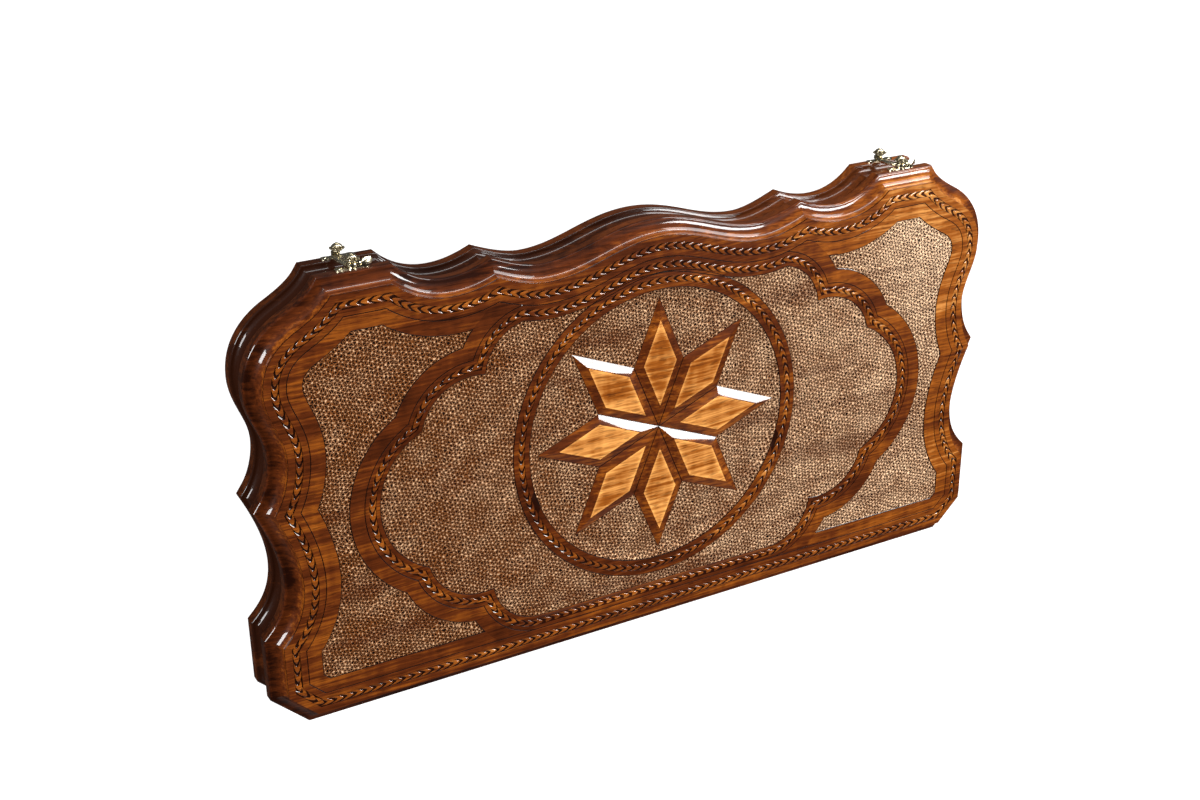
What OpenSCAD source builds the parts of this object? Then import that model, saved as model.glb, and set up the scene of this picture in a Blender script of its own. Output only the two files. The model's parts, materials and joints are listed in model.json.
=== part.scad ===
// Folding backgammon board: two carved, scalloped halves that close like a case.
// The closed board lies on its lower half. X runs along the hinge edge, Y from the
// hinge edge to the latch edge and Z up through both halves.

/* [Carved face] */
// Half width of the carved face, from its middle to the straight side flats
face_half_w = 290; // [280:1:310]
// Depth of the carved face, from its straight hinge edge to its two latch flats
face_depth = 296; // [288:1:312]
// How far the middle of the star lies from the face's middle towards the latch edge
star_rise = 3; // [0:0.5:5]
// Width of the corner cuts beside the hinge edge
corner_cut_w = 19.5; // [12:0.5:24]
// Height of the corner cuts beside the hinge edge
corner_cut_h = 19; // [12:0.5:24]
// Height of the straight side flats above the corner cuts
side_flat_h = 38.5; // [30:0.5:44]
// Height of the cusp between the two side scallops, above the middle of the star
side_cusp_y = 4; // [0:0.5:8]
// Depth of the upper side scallop
side_scallop = 14.5; // [10:0.5:18]
// Width of each straight flat that carries a latch
latch_flat_w = 41.5; // [36:0.5:48]
// Distance from the side flats in to the latch flat's outer corner
shoulder_w = 51.5; // [46:0.5:58]
// Distance from the latch flat's inner corner to the small cusp beside it
top_cusp_w = 73.5; // [66:0.5:80]
// Drop of the small top cusp below the latch flats
top_cusp_drop = 9.5; // [7:0.5:12]
// Drop of the lowest point of the top edge below the latch flats
top_dip = 19; // [16:0.5:21]
// Drop of the middle hump below the latch flats
hump_drop = 2; // [0:0.5:5]

/* [Edge moulding] */
// How far the rim stands out past the carved face
mould_w = 10; // [8:0.5:12]
// Upright step at the edge of the carved face
quirk = 1.2; // [0.8:0.1:1.8]
// Distance from the carved face to the upper edge of the rim
rim_start = 11; // [9.5:0.25:11.5]
// Height of the flat band on the rim
rim_band = 8; // [7:0.25:9]
// Radius of the two rounded edges of the rim
rim_round = 1.5; // [0.8:0.1:2]
// How far the wall is set back from the rim where the halves meet
meet_setback = 6; // [4:0.5:7]

/* [Halves] */
// Height of one half, from its carved face to where the halves meet
half_h = 27.3; // [26:0.1:30]
// Gap between the closed halves
seam = 0.4; // [0.3:0.1:1]
// Thickness of each carved panel
panel_t = 12; // [11.5:0.25:13]
// Least thickness of the side cheeks, behind the deepest scallop
cheek_wall = 10.5; // [9:0.5:14]
// Least thickness of the latch rail, behind the deepest dip
latch_wall = 10; // [8:0.5:14]
// Thickness of the hinge rail, from the carved face's edge to the tray
hinge_wall = 12; // [11:0.5:16]
// Thickness of the playing board in each tray
field_t = 4; // [3:0.25:5]
// Gap round each playing board
field_fit = 0.2; // [0.1:0.05:0.5]
// Length of each inlaid point
point_len = 225; // [180:1:240]
// Gap between the feet of neighbouring points
point_gap = 2; // [1:0.5:6]
// Thickness of the inlaid points
inlay_t = 1; // [0.6:0.1:1.5]

/* [Carving] */
// Depth of the punched grounds below the carved bands
ground_d = 0.4; // [0.2:0.1:0.8]
// Width of the braid border along the face's edge
border_w = 15; // [13:0.5:16]
// Width of the plain band inside the border
plain_w = 10.5; // [9:0.5:12]
// Width of the medallion's braid band
braid_w = 11; // [10:0.5:12]
// Height of the medallion's middle, below the middle of the star
medallion_drop = 11; // [9:0.5:13]
// Outer radius of the round ring about the star
ring_r = 117.5; // [114:0.5:120]
// Width of the round ring
ring_w = 12.5; // [11:0.5:13.5]
// Radius of the star's eight tips
star_r = 98.8; // [92:0.1:100]
// Radius of the star's inner corners
star_inner_r = 53.6; // [48:0.1:58]
// Height of the star above the ground at its foot
star_h = 2.2; // [1.5:0.1:3]
// Width of the star's bevels
bevel_w = 6.5; // [4:0.1:7.5]

/* [Hinges] */
// Distance of each hinge's middle from the side flats
hinge_inset = 110; // [90:1:160]
// Length of each hinge
hinge_len = 50; // [40:1:60]
// Radius of the hinge barrels
barrel_r = 3; // [2.6:0.1:3.4]
// Radius of the hinge pins
hinge_pin_r = 1.3; // [1:0.05:1.5]
// Thickness of the hinge leaves
leaf_t = 1.5; // [1.2:0.1:1.8]
// How far each leaf reaches over its rail
leaf_reach = 14; // [12:0.5:15]
// Gap between the rims when the board lies open
open_gap = 0.6; // [0.4:0.1:1.2]
// Radius of the hinge screws' shanks
screw_r = 1.2; // [1:0.05:1.4]
// Length of the hinge screws
screw_len = 10; // [8:0.5:12]

/* [Latches] */
// Thickness of the latch and catch plates
plate_t = 1; // [0.8:0.1:1.5]
// Thickness of the latch hooks
hook_t = 2.2; // [1.6:0.1:2.6]
// Radius of the pivot that each hook turns on
pivot_r = 1.6; // [1.3:0.05:1.8]
// Radius of the stud that each hook catches
stud_r = 1.8; // [1.5:0.05:2]
// Radius of the flower heads on the pivots and studs
flower_r = 5.2; // [4.6:0.1:5.8]
// Height of the flower heads
flower_h = 5.6; // [5:0.1:6.5]
// Length of each hook's thumb leaf
thumb_len = 11; // [9:0.5:13]

/* [Fits] */
// Radial clearance of the turning pins
turn_fit = 0.05; // [0.03:0.01:0.08]
// Side gap between moving metal parts
side_gap = 0.3; // [0.2:0.05:0.5]
// Gap between a hook's claw and its stud
claw_gap = 0.25; // [0.2:0.05:0.4]

/* [Hidden] */

carved_wood = "#6b3416";
rail_wood = "#5a2a12";
field_wood = "#b98b55";
light_wood = "#e2c48f";
dark_wood = "#3b1e10";
brass = "#a98a4e";
steel = "#8c8576";

curve_steps = 7;
cove_steps = 6;
round_steps = 3;
fine = 48;
eps = 0.01;

// Key places
face_top = face_depth / 2 - star_rise;
face_bottom = face_depth / 2 + star_rise;
total_h = 2 * half_h + seam;
axis_z = half_h + seam / 2;
rim_end = rim_start + rim_band;
rim_top_y = face_top + mould_w;
hinge_y = -(face_bottom + mould_w) - open_gap / 2;
latch_x = face_half_w - shoulder_w - latch_flat_w / 2;
hinge_x = face_half_w - hinge_inset;
rim_mid = (rim_start + rim_end) / 2;
latch_drop = total_h - 2 * rim_mid;
nail_rise = 0.6;
nail_dome_r = 2;
flower_foot = plate_t + nail_rise + 2 * side_gap + hook_t;
reach_top = rim_top_y + flower_foot + flower_h;
reach_bottom = hinge_y - barrel_r;
shift_y = -(reach_top + reach_bottom) / 2;
tray_half_w = face_half_w - side_scallop - cheek_wall;
tray_top = face_top - top_dip - latch_wall;
tray_bottom = -(face_bottom - hinge_wall);
tray_mid = (tray_top + tray_bottom) / 2;
tray_h = tray_top - tray_bottom;
point_pitch = tray_h / 6;

// Outline of the carved face: right half, from the hinge edge up to the middle of the hump.
// Each knot is a place, the handle of the curve that arrives and that of the curve that leaves.
// Slopes are in degrees from the latch edge's direction.
function away(a) = [cos(a), sin(a)];
function rising(a) = [-cos(a), sin(a)];
none = [0, 0];
low_scallop_slope = 45;
side_cusp_in_slope = 65;
side_cusp_out_slope = 54;
side_lobe_in = 3;
scallop_rise = 37;
lobe_drop = 57;
shoulder_slope = 28.5;
shoulder_out = 25;
shoulder_drop = 19.5;
flat_corner_slope = 56;
flat_end_slope = 42.5;
top_cusp_slope = 22.5;
low_scallop_pull = 36;
side_cusp_in_pull = 42;
side_cusp_out_pull = 14;
waist_in_pull = 11;
waist_out_pull = 19;
lobe_in_pull = 17;
lobe_out_pull = 18.5;
shoulder_in_pull = 15;
corner_pull = 10;
top_cusp_in_pull = 28;
top_cusp_out_pull = 12;
hump_pull = 33;
flat_out_x = face_half_w - shoulder_w;
flat_in_x = flat_out_x - latch_flat_w;
cusp_x = flat_in_x - top_cusp_w;
dip_x = cusp_x * 0.7;
knots = [
    [[tray_half_w - 20, -face_bottom], none, none],
    [[face_half_w - corner_cut_w, -face_bottom], none, none],
    [[face_half_w, corner_cut_h - face_bottom], none, none],
    [
        [face_half_w, corner_cut_h + side_flat_h - face_bottom],
        none,
        low_scallop_pull * rising(low_scallop_slope)
    ],
    [
        [face_half_w - side_lobe_in, side_cusp_y],
        -side_cusp_in_pull * away(side_cusp_in_slope),
        side_cusp_out_pull * rising(side_cusp_out_slope)
    ],
    [
        [face_half_w - side_scallop, side_cusp_y + scallop_rise],
        [0, -waist_in_pull],
        [0, waist_out_pull]
    ],
    [
        [face_half_w - side_lobe_in, face_top - lobe_drop],
        [0, -lobe_in_pull],
        [0, lobe_out_pull]
    ],
    [
        [flat_out_x + shoulder_out, face_top - shoulder_drop],
        -shoulder_in_pull * rising(shoulder_slope),
        corner_pull * rising(shoulder_slope)
    ],
    [[flat_out_x, face_top], -corner_pull * rising(flat_corner_slope), none],
    [[flat_in_x, face_top], none, -top_cusp_in_pull * away(flat_end_slope)],
    [
        [cusp_x, face_top - top_cusp_drop],
        -top_cusp_in_pull * rising(top_cusp_slope),
        -top_cusp_out_pull * away(top_cusp_slope)
    ],
    [[dip_x, face_top - top_dip], [top_cusp_out_pull, 0], [-hump_pull, 0]],
    [[0, face_top - hump_drop], [hump_pull, 0], none]
];
function bezier(p, q, r, s) = [
    for (i = [0 : curve_steps - 1])
        let (t = i / curve_steps, u = 1 - t)
            u * u * u * p + 3 * u * u * t * q + 3 * u * t * t * r + t * t * t * s
];
half_outline = [
    for (i = [0 : len(knots) - 2])
        let (a = knots[i], b = knots[i + 1])
            each (a[2] == none && b[1] == none
                ? [a[0]]
                : bezier(a[0], a[0] + a[2], b[0] + b[1], b[0]))
];
outline = concat(
    half_outline,
    [knots[len(knots) - 1][0]],
    [for (i = [len(half_outline) - 1 : -1 : 0]) [-half_outline[i].x, half_outline[i].y]]
);

// The closed path moved out by s, with its corners kept sharp
function unit(v) = v / norm(v);
function grown(path, s) = [
    for (i = [0 : len(path) - 1])
        let (
            last = len(path) - 1,
            a = unit(path[i] - path[i == 0 ? last : i - 1]),
            b = unit(path[i == last ? 0 : i + 1] - path[i]),
            m = [a.y, -a.x],
            n = [b.y, -b.x]
        )
            path[i] + s * (m + n) / (1 + m * n)
];
function to_segment(p, a, b) =
    let (t = max(0, min(1, (p - a) * (b - a) / ((b - a) * (b - a))))) norm(p - a - t * (b - a));
function to_path(p, path) = min([
    for (i = [0 : len(path) - 1]) to_segment(p, path[i], path[(i + 1) % len(path)])
]);
// The closed path moved in by d, without the points that would cross at its cusps
cusp_slack = 0.3;
function shrunk(path, d) = [for (p = grown(path, -d)) if (to_path(p, path) > d - cusp_slack) p];

// Profiles of the edge: how far out from the face's edge, and how deep below the carved face
cove_out = mould_w - rim_round;
cove_in = rim_start - rim_round;
panel_profile = concat(
    [[0, 0]],
    [for (i = [0 : cove_steps]) let (a = 90 * i / cove_steps)
        [cove_out * (1 - cos(a)), quirk + (cove_in - quirk) * sin(a)]],
    [for (i = [1 : round_steps]) let (a = 90 * i / round_steps)
        [cove_out + rim_round * sin(a), rim_start - rim_round * cos(a)]],
    [[mould_w, panel_t]]
);
rail_profile = concat(
    [[mould_w, panel_t]],
    [for (i = [0 : round_steps]) let (a = 90 * i / round_steps)
        [cove_out + rim_round * cos(a), rim_end - rim_round + rim_round * sin(a)]],
    [for (i = [1 : round_steps + 1]) let (a = 90 * i / (round_steps + 1))
        [cove_out - (meet_setback - rim_round) * sin(a), half_h - (half_h - rim_end) * cos(a)]]
);

// Solid that follows the outline, moved out and up by the steps of a profile. It covers the
// stretch from one of the outline's points to another, or all of it, and its flat faces fan out
// from a middle point that sees the whole outline.
middle = [0, -0.6 * face_bottom];
function level(p, z) = [p.x, p.y, z];
module moulded(profile, first, last) {
    n = last - first + 1;
    m = len(profile);
    whole = n == len(outline);
    low = m * n;
    high = low + 1;
    rings = [
        for (q = profile)
            let (ring = grown(outline, q.x))
                for (i = [first : last]) level(ring[i], q.y)
    ];
    middles = [for (z = [profile[0].y, profile[m - 1].y]) level(middle, z)];
    steps = [for (i = [0 : n - (whole ? 1 : 2)]) [i, (i + 1) % n]];
    sides = [
        for (j = [0 : m - 2], e = steps)
            let (a = j * n + e[0], b = j * n + e[1])
                each [[a, a + n, b + n], [a, b + n, b]]
    ];
    caps = [for (e = steps) each [[e[0], e[1], low], [low - n + e[1], low - n + e[0], high]]];
    ends = [
        for (j = [0 : m - 2])
            each [[low, (j + 1) * n, j * n], [low, (j + 1) * n - 1, (j + 2) * n - 1]]
    ];
    backs = [[low, high, low - n], [low, low - 1, high]];
    polyhedron(
        concat(rings, middles),
        whole ? concat(sides, caps) : concat(sides, caps, ends, backs)
    );
}
// Places of two knots in the outline: the upper side shoulder and a latch flat's inner end
function place_of(p) = [for (i = [0 : len(outline) - 1]) if (outline[i] == p) i][0];
shoulder_at = place_of(knots[6][0]);
flat_at = place_of(knots[9][0]);

// The medallion's six lobes and the field between them, with its edge moved out by s
side_lobe = [160, 0, 67];
slant_lobe = [144, 42, 51.3];
end_lobe = [98.8, 77, 48.3];
module lobe(place, s) {
    for (mx = [-1, 1], my = [-1, 1])
        translate([mx * place[0], my * place[1] - medallion_drop])
            circle(r = place[2] + s, $fn = 2 * fine);
}
module medallion_shape(s) {
    lobe(side_lobe, s);
    lobe(slant_lobe, s);
    lobe(end_lobe, s);
    translate([-end_lobe[0], -medallion_drop - end_lobe[1] - end_lobe[2] - s])
        square([2 * end_lobe[0], 2 * face_top]);
}

// Grounds that the punch has sunk: two corner fields and the medallion's field
module sunk_grounds() {
    difference() {
        polygon(shrunk(outline, border_w + plain_w));
        medallion_shape(plain_w);
    }
    difference() {
        intersection() {
            polygon(shrunk(outline, border_w + braid_w));
            medallion_shape(-braid_w);
        }
        circle(r = ring_r, $fn = 2 * fine);
    }
}

// Eight-pointed star of rhombs with flat tops, one solid whose top is flush with the face
module star() {
    function foot(a, r) = [r * cos(a), r * sin(a)];
    // Corner of a rhomb's top, where two edges moved in by the bevel meet
    function inset(p, a, b) =
        let (u = unit(a - p), v = unit(b - p))
            p + bevel_w * (u + v) / norm(cross([u.x, u.y, 0], [v.x, v.y, 0]));
    tips = [for (k = [0 : 7]) foot(45 * k, star_r)];
    inners = [for (k = [0 : 7]) foot(45 * k + 22.5, star_inner_r)];
    tops = [
        for (k = [0 : 7])
            let (t = tips[k], r = inners[(k + 7) % 8], l = inners[k], o = [0, 0])
                each [inset(o, r, l), inset(r, o, t), inset(t, r, l), inset(l, t, o)]
    ];
    // Points: the middle, tips, inner corners, their copies sunk into the panel, then the tops
    points = concat(
        [[0, 0, star_h], [0, 0, star_h + 1]],
        [for (p = tips) [p.x, p.y, star_h]],
        [for (p = inners) [p.x, p.y, star_h]],
        [for (p = tips) [p.x, p.y, star_h + 1]],
        [for (p = inners) [p.x, p.y, star_h + 1]],
        [for (p = tops) [p.x, p.y, 0]]
    );
    rays = [
        for (k = [0 : 7])
            let (t = 2 + k, l = 10 + k, r = 10 + (k + 7) % 8, q = 34 + 4 * k)
                each [
                    [q, q + 1, q + 2, q + 3],
                    [0, r, q + 1, q], [r, t, q + 2, q + 1], [t, l, q + 3, q + 2], [l, 0, q, q + 3],
                    [t, r, r + 16, t + 16], [l, t, t + 16, l + 16],
                    [1, t + 16, r + 16], [1, l + 16, t + 16]
                ]
    ];
    polyhedron(points, rays);
}

// Carved panel: moulded edge, sunk grounds, dished star field and the star
module panel() {
    field_r = ring_r - ring_w;
    difference() {
        moulded(panel_profile, 0, len(outline) - 1);
        translate([0, 0, -1]) linear_extrude(ground_d + 1) sunk_grounds();
        translate([0, 0, -1]) cylinder(r = field_r, h = ground_d + 1, $fn = 2 * fine);
        translate([0, 0, ground_d - eps])
            cylinder(r1 = field_r, r2 = star_r, h = star_h - ground_d + eps, $fn = 2 * fine);
    }
    star();
}

// The wood behind the panel: a latch rail, a hinge rail and two cheeks round the tray
far = face_half_w + mould_w + 1;
module latch_rail() {
    difference() {
        intersection() {
            moulded(rail_profile, shoulder_at, len(outline) - 1 - shoulder_at);
            translate([-tray_half_w, tray_top, 0]) cube([2 * tray_half_w, far, total_h]);
        }
        latch_holes();
    }
}
module hinge_rail() {
    difference() {
        rotate([90, 0, 90]) linear_extrude(2 * tray_half_w, center = true)
            polygon(concat(
                [for (q = rail_profile) [-face_bottom - q.x, q.y]],
                [[tray_bottom, half_h], [tray_bottom, panel_t]]
            ));
        for (side = [-1, 1])
            translate([side * hinge_x - hinge_len / 2, leaf_edge_y - far, half_h - leaf_t])
                cube([hinge_len, far, leaf_t + 1]);
        screws();
    }
}
module right_cheek() {
    intersection() {
        moulded(rail_profile, 0, flat_at);
        translate([tray_half_w, -far, 0]) cube([far, 2 * far, total_h]);
    }
}
module left_cheek() {
    mirror([1, 0, 0]) right_cheek();
}
// Distance of the wall from the face's edge where the halves meet
meet_out = mould_w - meet_setback;

// Inlaid points on one half, light or dark; neighbours and facing points alternate
module point_shapes(light) {
    foot_w = point_pitch - point_gap;
    for (side = [-1, 1], i = [0 : 5])
        if ((i + (side > 0 ? 1 : 0)) % 2 == (light ? 0 : 1))
            translate([0, tray_bottom + point_pitch * (i + 0.5)])
                polygon([
                    [side * (tray_half_w - 1), -foot_w / 2],
                    [side * (tray_half_w - 1), foot_w / 2],
                    [side * (tray_half_w - 1 - point_len), 0]
                ]);
}
field_top = panel_t + field_t;
module inlay(light) {
    translate([0, 0, field_top - inlay_t]) linear_extrude(inlay_t) point_shapes(light);
}
module field() {
    difference() {
        translate([field_fit - tray_half_w, tray_bottom + field_fit, panel_t])
            cube([2 * (tray_half_w - field_fit), tray_h - 2 * field_fit, field_t]);
        for (light = [true, false])
            translate([0, 0, field_top - inlay_t])
                linear_extrude(inlay_t + 1) point_shapes(light);
    }
}

// The upper half is the lower one turned over on the plane where they meet
module upper() {
    translate([0, 0, total_h]) mirror([0, 0, 1]) children();
}
module placed() {
    translate([0, shift_y, 0]) children();
}

// Hinge: five barrels on one pin, three on the lower leaf and two on the upper one
barrels = 5;
barrel_len = hinge_len / barrels;
leaf_edge_y = -(face_bottom + meet_out) + leaf_reach;
module barrel(i, bore) {
    translate([-hinge_len / 2 + i * barrel_len + side_gap / 2, hinge_y, axis_z]) rotate([0, 90, 0])
        difference() {
            cylinder(r = barrel_r, h = barrel_len - side_gap, $fn = fine);
            translate([0, 0, -1]) cylinder(r = bore, h = barrel_len + 2, $fn = fine);
        }
}
module hinge_leaf(mine, others, bore) {
    difference() {
        translate([-hinge_len / 2, hinge_y, half_h - leaf_t])
            cube([hinge_len, leaf_edge_y - hinge_y, leaf_t]);
        for (i = others)
            translate([-hinge_len / 2 + i * barrel_len - side_gap / 2, hinge_y - barrel_r - 1, 0])
                cube([barrel_len + side_gap, 2 * barrel_r + 1 + side_gap, total_h]);
        translate([-hinge_len / 2 - 1, hinge_y, axis_z]) rotate([0, 90, 0])
            cylinder(r = barrel_r - eps, h = hinge_len + 2, $fn = fine);
        leaf_screws();
    }
    for (i = mine) barrel(i, bore);
}
module base_leaf() hinge_leaf([0, 2, 4], [1, 3], hinge_pin_r);
module lid_leaf() {
    upper() hinge_leaf([1, 3], [0, 2, 4], hinge_pin_r + turn_fit);
}
module hinge_pin() {
    translate([-hinge_len / 2 + side_gap / 2, hinge_y, axis_z]) rotate([0, 90, 0])
        cylinder(r = hinge_pin_r, h = hinge_len - side_gap, $fn = fine);
}

// Countersunk screws of one leaf, and all those of one half
screw_head_r = 2 * screw_r;
module leaf_screws() {
    mid_y = leaf_edge_y - (leaf_reach - 1) / 2;
    for (k = [-1 : 1])
        translate([k * hinge_len / 3, mid_y, half_h]) {
            translate([0, 0, -screw_len]) cylinder(r = screw_r, h = screw_len, $fn = fine);
            translate([0, 0, screw_r - screw_head_r])
                cylinder(r1 = screw_r, r2 = screw_head_r, h = screw_head_r - screw_r, $fn = fine);
        }
}
module screws() {
    for (side = [-1, 1]) translate([side * hinge_x, 0, 0]) leaf_screws();
}
module slotted_screws() {
    slot_y = leaf_edge_y - (leaf_reach - 1) / 2;
    difference() {
        screws();
        for (side = [-1, 1], k = [-1 : 1])
            translate([side * hinge_x + k * hinge_len / 3, slot_y, half_h])
                cube([0.5, 2 * screw_head_r + 1, 1], center = true);
    }
}

// Latch parts lie against the rim's flat band. Their own frame has the band as its floor,
// x along the board and y down towards the other half.
module on_band(side) {
    translate([side * latch_x, rim_top_y, total_h - rim_mid]) rotate([-90, 0, 0]) children();
}
band_margin = 0.4;
plate_half = rim_band / 2 - band_margin;
waist_share = 0.7;
ear_share = 0.85;
nail_x = 8.5;
module plate_shape() {
    circle(r = plate_half, $fn = fine);
    translate([-nail_x, -plate_half * waist_share])
        square([2 * nail_x, 2 * plate_half * waist_share]);
    for (s = [-1, 1]) translate([s * nail_x, 0]) circle(r = plate_half * ear_share, $fn = fine);
}
nail_r = 0.7;
nail_len = 6;
shaft_r = 1.5;
shaft_len = 6;
module plate() {
    linear_extrude(plate_t) difference() {
        plate_shape();
        circle(r = shaft_r, $fn = fine);
        for (s = [-1, 1]) translate([s * nail_x, 0]) circle(r = nail_r, $fn = fine);
    }
}
// Round-headed nails of one plate
module nails() {
    for (s = [-1, 1]) translate([s * nail_x, 0, 0]) {
        translate([0, 0, -nail_len]) cylinder(r = nail_r, h = nail_len + plate_t, $fn = fine);
        translate([0, 0, plate_t]) rotate_extrude($fn = fine)
            intersection() {
                translate([0, nail_rise - nail_dome_r]) circle(r = nail_dome_r, $fn = fine);
                square(2 * nail_dome_r);
            }
    }
}
// Shaft through a plate into the rail, with a collar under the hook and a flower head over it
module flower_stud(r, collar_r) {
    translate([0, 0, -shaft_len]) cylinder(r = shaft_r, h = shaft_len + plate_t, $fn = fine);
    translate([0, 0, plate_t]) cylinder(r = r, h = flower_foot - plate_t + eps, $fn = fine);
    translate([0, 0, plate_t]) cylinder(r = collar_r, h = nail_rise, $fn = fine);
    translate([0, 0, flower_foot]) rotate_extrude($fn = fine) flower_profile();
}
module flower_profile() {
    petal_r = flower_h * 0.2;
    dome_r = flower_r * 0.66;
    tip_r = flower_r * 0.24;
    tip_rise = flower_h * 0.1;
    intersection() {
        union() {
            square([flower_r * 0.6, 2 * petal_r]);
            translate([0, petal_r]) square([flower_r - petal_r, 2 * petal_r]);
            translate([flower_r - petal_r, 2 * petal_r]) circle(r = petal_r, $fn = fine);
            translate([0, flower_h - tip_rise - dome_r]) circle(r = dome_r, $fn = fine);
            translate([0, flower_h - tip_r]) circle(r = tip_r, $fn = fine);
        }
        square([flower_r, flower_h]);
    }
}
// Holes for the nails and shafts in one half's latch rail, seen on the lower half
module latch_holes() {
    for (side = [-1, 1])
        translate([side * latch_x, rim_top_y, rim_mid]) rotate([-90, 0, 0]) {
            for (s = [-1, 1])
                translate([s * nail_x, 0, -nail_len]) cylinder(r = nail_r, h = far, $fn = fine);
            translate([0, 0, -shaft_len]) cylinder(r = shaft_r, h = far, $fn = fine);
        }
}

// Hook: hub, bowed arm, claw under the stud and a thumb leaf; y points to the catch
eye_wall = 2;
arm_bow = 5;
arm_outer = 2;
arm_inner = 1.7;
leaf_bend = 8;
leaf_overlap = 0.8;
mouth_x = 0.9;
module hook_shape() {
    hub_r = pivot_r + eye_wall;
    claw_r = stud_r + claw_gap;
    half_drop = latch_drop / 2;
    bow_r = (half_drop * half_drop + arm_bow * arm_bow) / (2 * arm_bow);
    leaf_rise = sqrt(leaf_bend * leaf_bend - thumb_len * thumb_len / 4);
    mouth = claw_r + eye_wall + 1;
    difference() {
        union() {
            circle(r = hub_r, $fn = fine);
            // Arm, bowed away from the thumb leaf
            intersection() {
                translate([bow_r - arm_bow, half_drop]) difference() {
                    circle(r = bow_r + arm_outer, $fn = 2 * fine);
                    circle(r = bow_r - arm_inner, $fn = 2 * fine);
                }
                translate([-arm_bow - eye_wall, 0]) square([arm_bow + eye_wall, latch_drop]);
            }
            // Claw round the stud
            translate([0, latch_drop]) circle(r = claw_r + eye_wall, $fn = fine);
            // Thumb leaf with a bead at its root
            translate([hub_r - leaf_overlap + thumb_len / 2, 0]) intersection() {
                translate([0, -leaf_rise]) circle(r = leaf_bend, $fn = 2 * fine);
                translate([0, leaf_rise]) circle(r = leaf_bend, $fn = 2 * fine);
            }
            translate([hub_r + 1, 0]) circle(r = eye_wall, $fn = fine);
        }
        circle(r = pivot_r + turn_fit, $fn = fine);
        translate([0, latch_drop]) circle(r = claw_r, $fn = fine);
        // Mouth of the claw
        translate([mouth_x, latch_drop - mouth]) square([mouth, 2 * mouth]);
        translate([0, latch_drop - mouth]) square([mouth, mouth]);
    }
}
module hook() {
    translate([0, 0, plate_t + nail_rise + side_gap]) linear_extrude(hook_t) hook_shape();
}

// Lower half
module base_panel() color(carved_wood) placed() panel();
module base_latch_rail() color(rail_wood) placed() latch_rail();
module base_hinge_rail() color(rail_wood) placed() hinge_rail();
module base_left_cheek() color(rail_wood) placed() left_cheek();
module base_right_cheek() color(rail_wood) placed() right_cheek();
module base_field() color(field_wood) placed() field();
module base_light_points() color(light_wood) placed() inlay(true);
module base_dark_points() color(dark_wood) placed() inlay(false);

// Upper half
module lid_panel() color(carved_wood) placed() upper() panel();
module lid_latch_rail() color(rail_wood) placed() upper() latch_rail();
module lid_hinge_rail() color(rail_wood) placed() upper() hinge_rail();
module lid_left_cheek() color(rail_wood) placed() upper() left_cheek();
module lid_right_cheek() color(rail_wood) placed() upper() right_cheek();
module lid_field() color(field_wood) placed() upper() field();
module lid_light_points() color(light_wood) placed() upper() inlay(false);
module lid_dark_points() color(dark_wood) placed() upper() inlay(true);

// Hinges
module left_hinge_base_leaf() color(brass) placed() translate([-hinge_x, 0, 0]) base_leaf();
module left_hinge_lid_leaf() color(brass) placed() translate([-hinge_x, 0, 0]) lid_leaf();
module left_hinge_pin() color(steel) placed() translate([-hinge_x, 0, 0]) hinge_pin();
module right_hinge_base_leaf() color(brass) placed() translate([hinge_x, 0, 0]) base_leaf();
module right_hinge_lid_leaf() color(brass) placed() translate([hinge_x, 0, 0]) lid_leaf();
module right_hinge_pin() color(steel) placed() translate([hinge_x, 0, 0]) hinge_pin();
module base_hinge_screws() color(steel) placed() slotted_screws();
module lid_hinge_screws() color(steel) placed() upper() slotted_screws();

// Latches; the catch stands on the lower half's band, straight below the pivot
module catch_side(side) on_band(side) translate([0, latch_drop, 0]) children();
module left_latch_plate() color(brass) placed() on_band(-1) plate();
module left_latch_pivot() color(brass) placed() on_band(-1) flower_stud(pivot_r, pivot_r + 1);
module left_latch_hook() color(brass) placed() on_band(-1) hook();
module left_catch_plate() color(brass) placed() catch_side(-1) plate();
module left_catch_stud() color(brass) placed() catch_side(-1) flower_stud(stud_r, stud_r + 1);
module right_latch_plate() color(brass) placed() on_band(1) plate();
module right_latch_pivot() color(brass) placed() on_band(1) flower_stud(pivot_r, pivot_r + 1);
module right_latch_hook() color(brass) placed() on_band(1) hook();
module right_catch_plate() color(brass) placed() catch_side(1) plate();
module right_catch_stud() color(brass) placed() catch_side(1) flower_stud(stud_r, stud_r + 1);
module lid_latch_nails() color(steel) placed() for (side = [-1, 1]) on_band(side) nails();
module base_latch_nails() color(steel) placed() for (side = [-1, 1]) catch_side(side) nails();

base_panel();
base_latch_rail();
base_hinge_rail();
base_left_cheek();
base_right_cheek();
base_field();
base_light_points();
base_dark_points();
lid_panel();
lid_latch_rail();
lid_hinge_rail();
lid_left_cheek();
lid_right_cheek();
lid_field();
lid_light_points();
lid_dark_points();
left_hinge_base_leaf();
left_hinge_lid_leaf();
left_hinge_pin();
right_hinge_base_leaf();
right_hinge_lid_leaf();
right_hinge_pin();
base_hinge_screws();
lid_hinge_screws();
left_latch_plate();
left_latch_pivot();
left_latch_hook();
left_catch_plate();
left_catch_stud();
right_latch_plate();
right_latch_pivot();
right_latch_hook();
right_catch_plate();
right_catch_stud();
lid_latch_nails();
base_latch_nails();
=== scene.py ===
"""Folding backgammon board with a carved, scalloped case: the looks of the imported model.

The board lies closed on its lower half. Both carved faces, their mouldings, the rails and
cheeks behind them, the chains of scales and the cast latches are made here; the playing boards,
inlays, hinges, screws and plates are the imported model's own solids with finishes of their own.
Lengths in the classes are millimetres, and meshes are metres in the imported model's frame.
"""

from __future__ import annotations

import json
import logging
import math
from dataclasses import dataclass, field
from enum import Enum
from typing import Any, Callable, Iterable, Sequence

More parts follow.
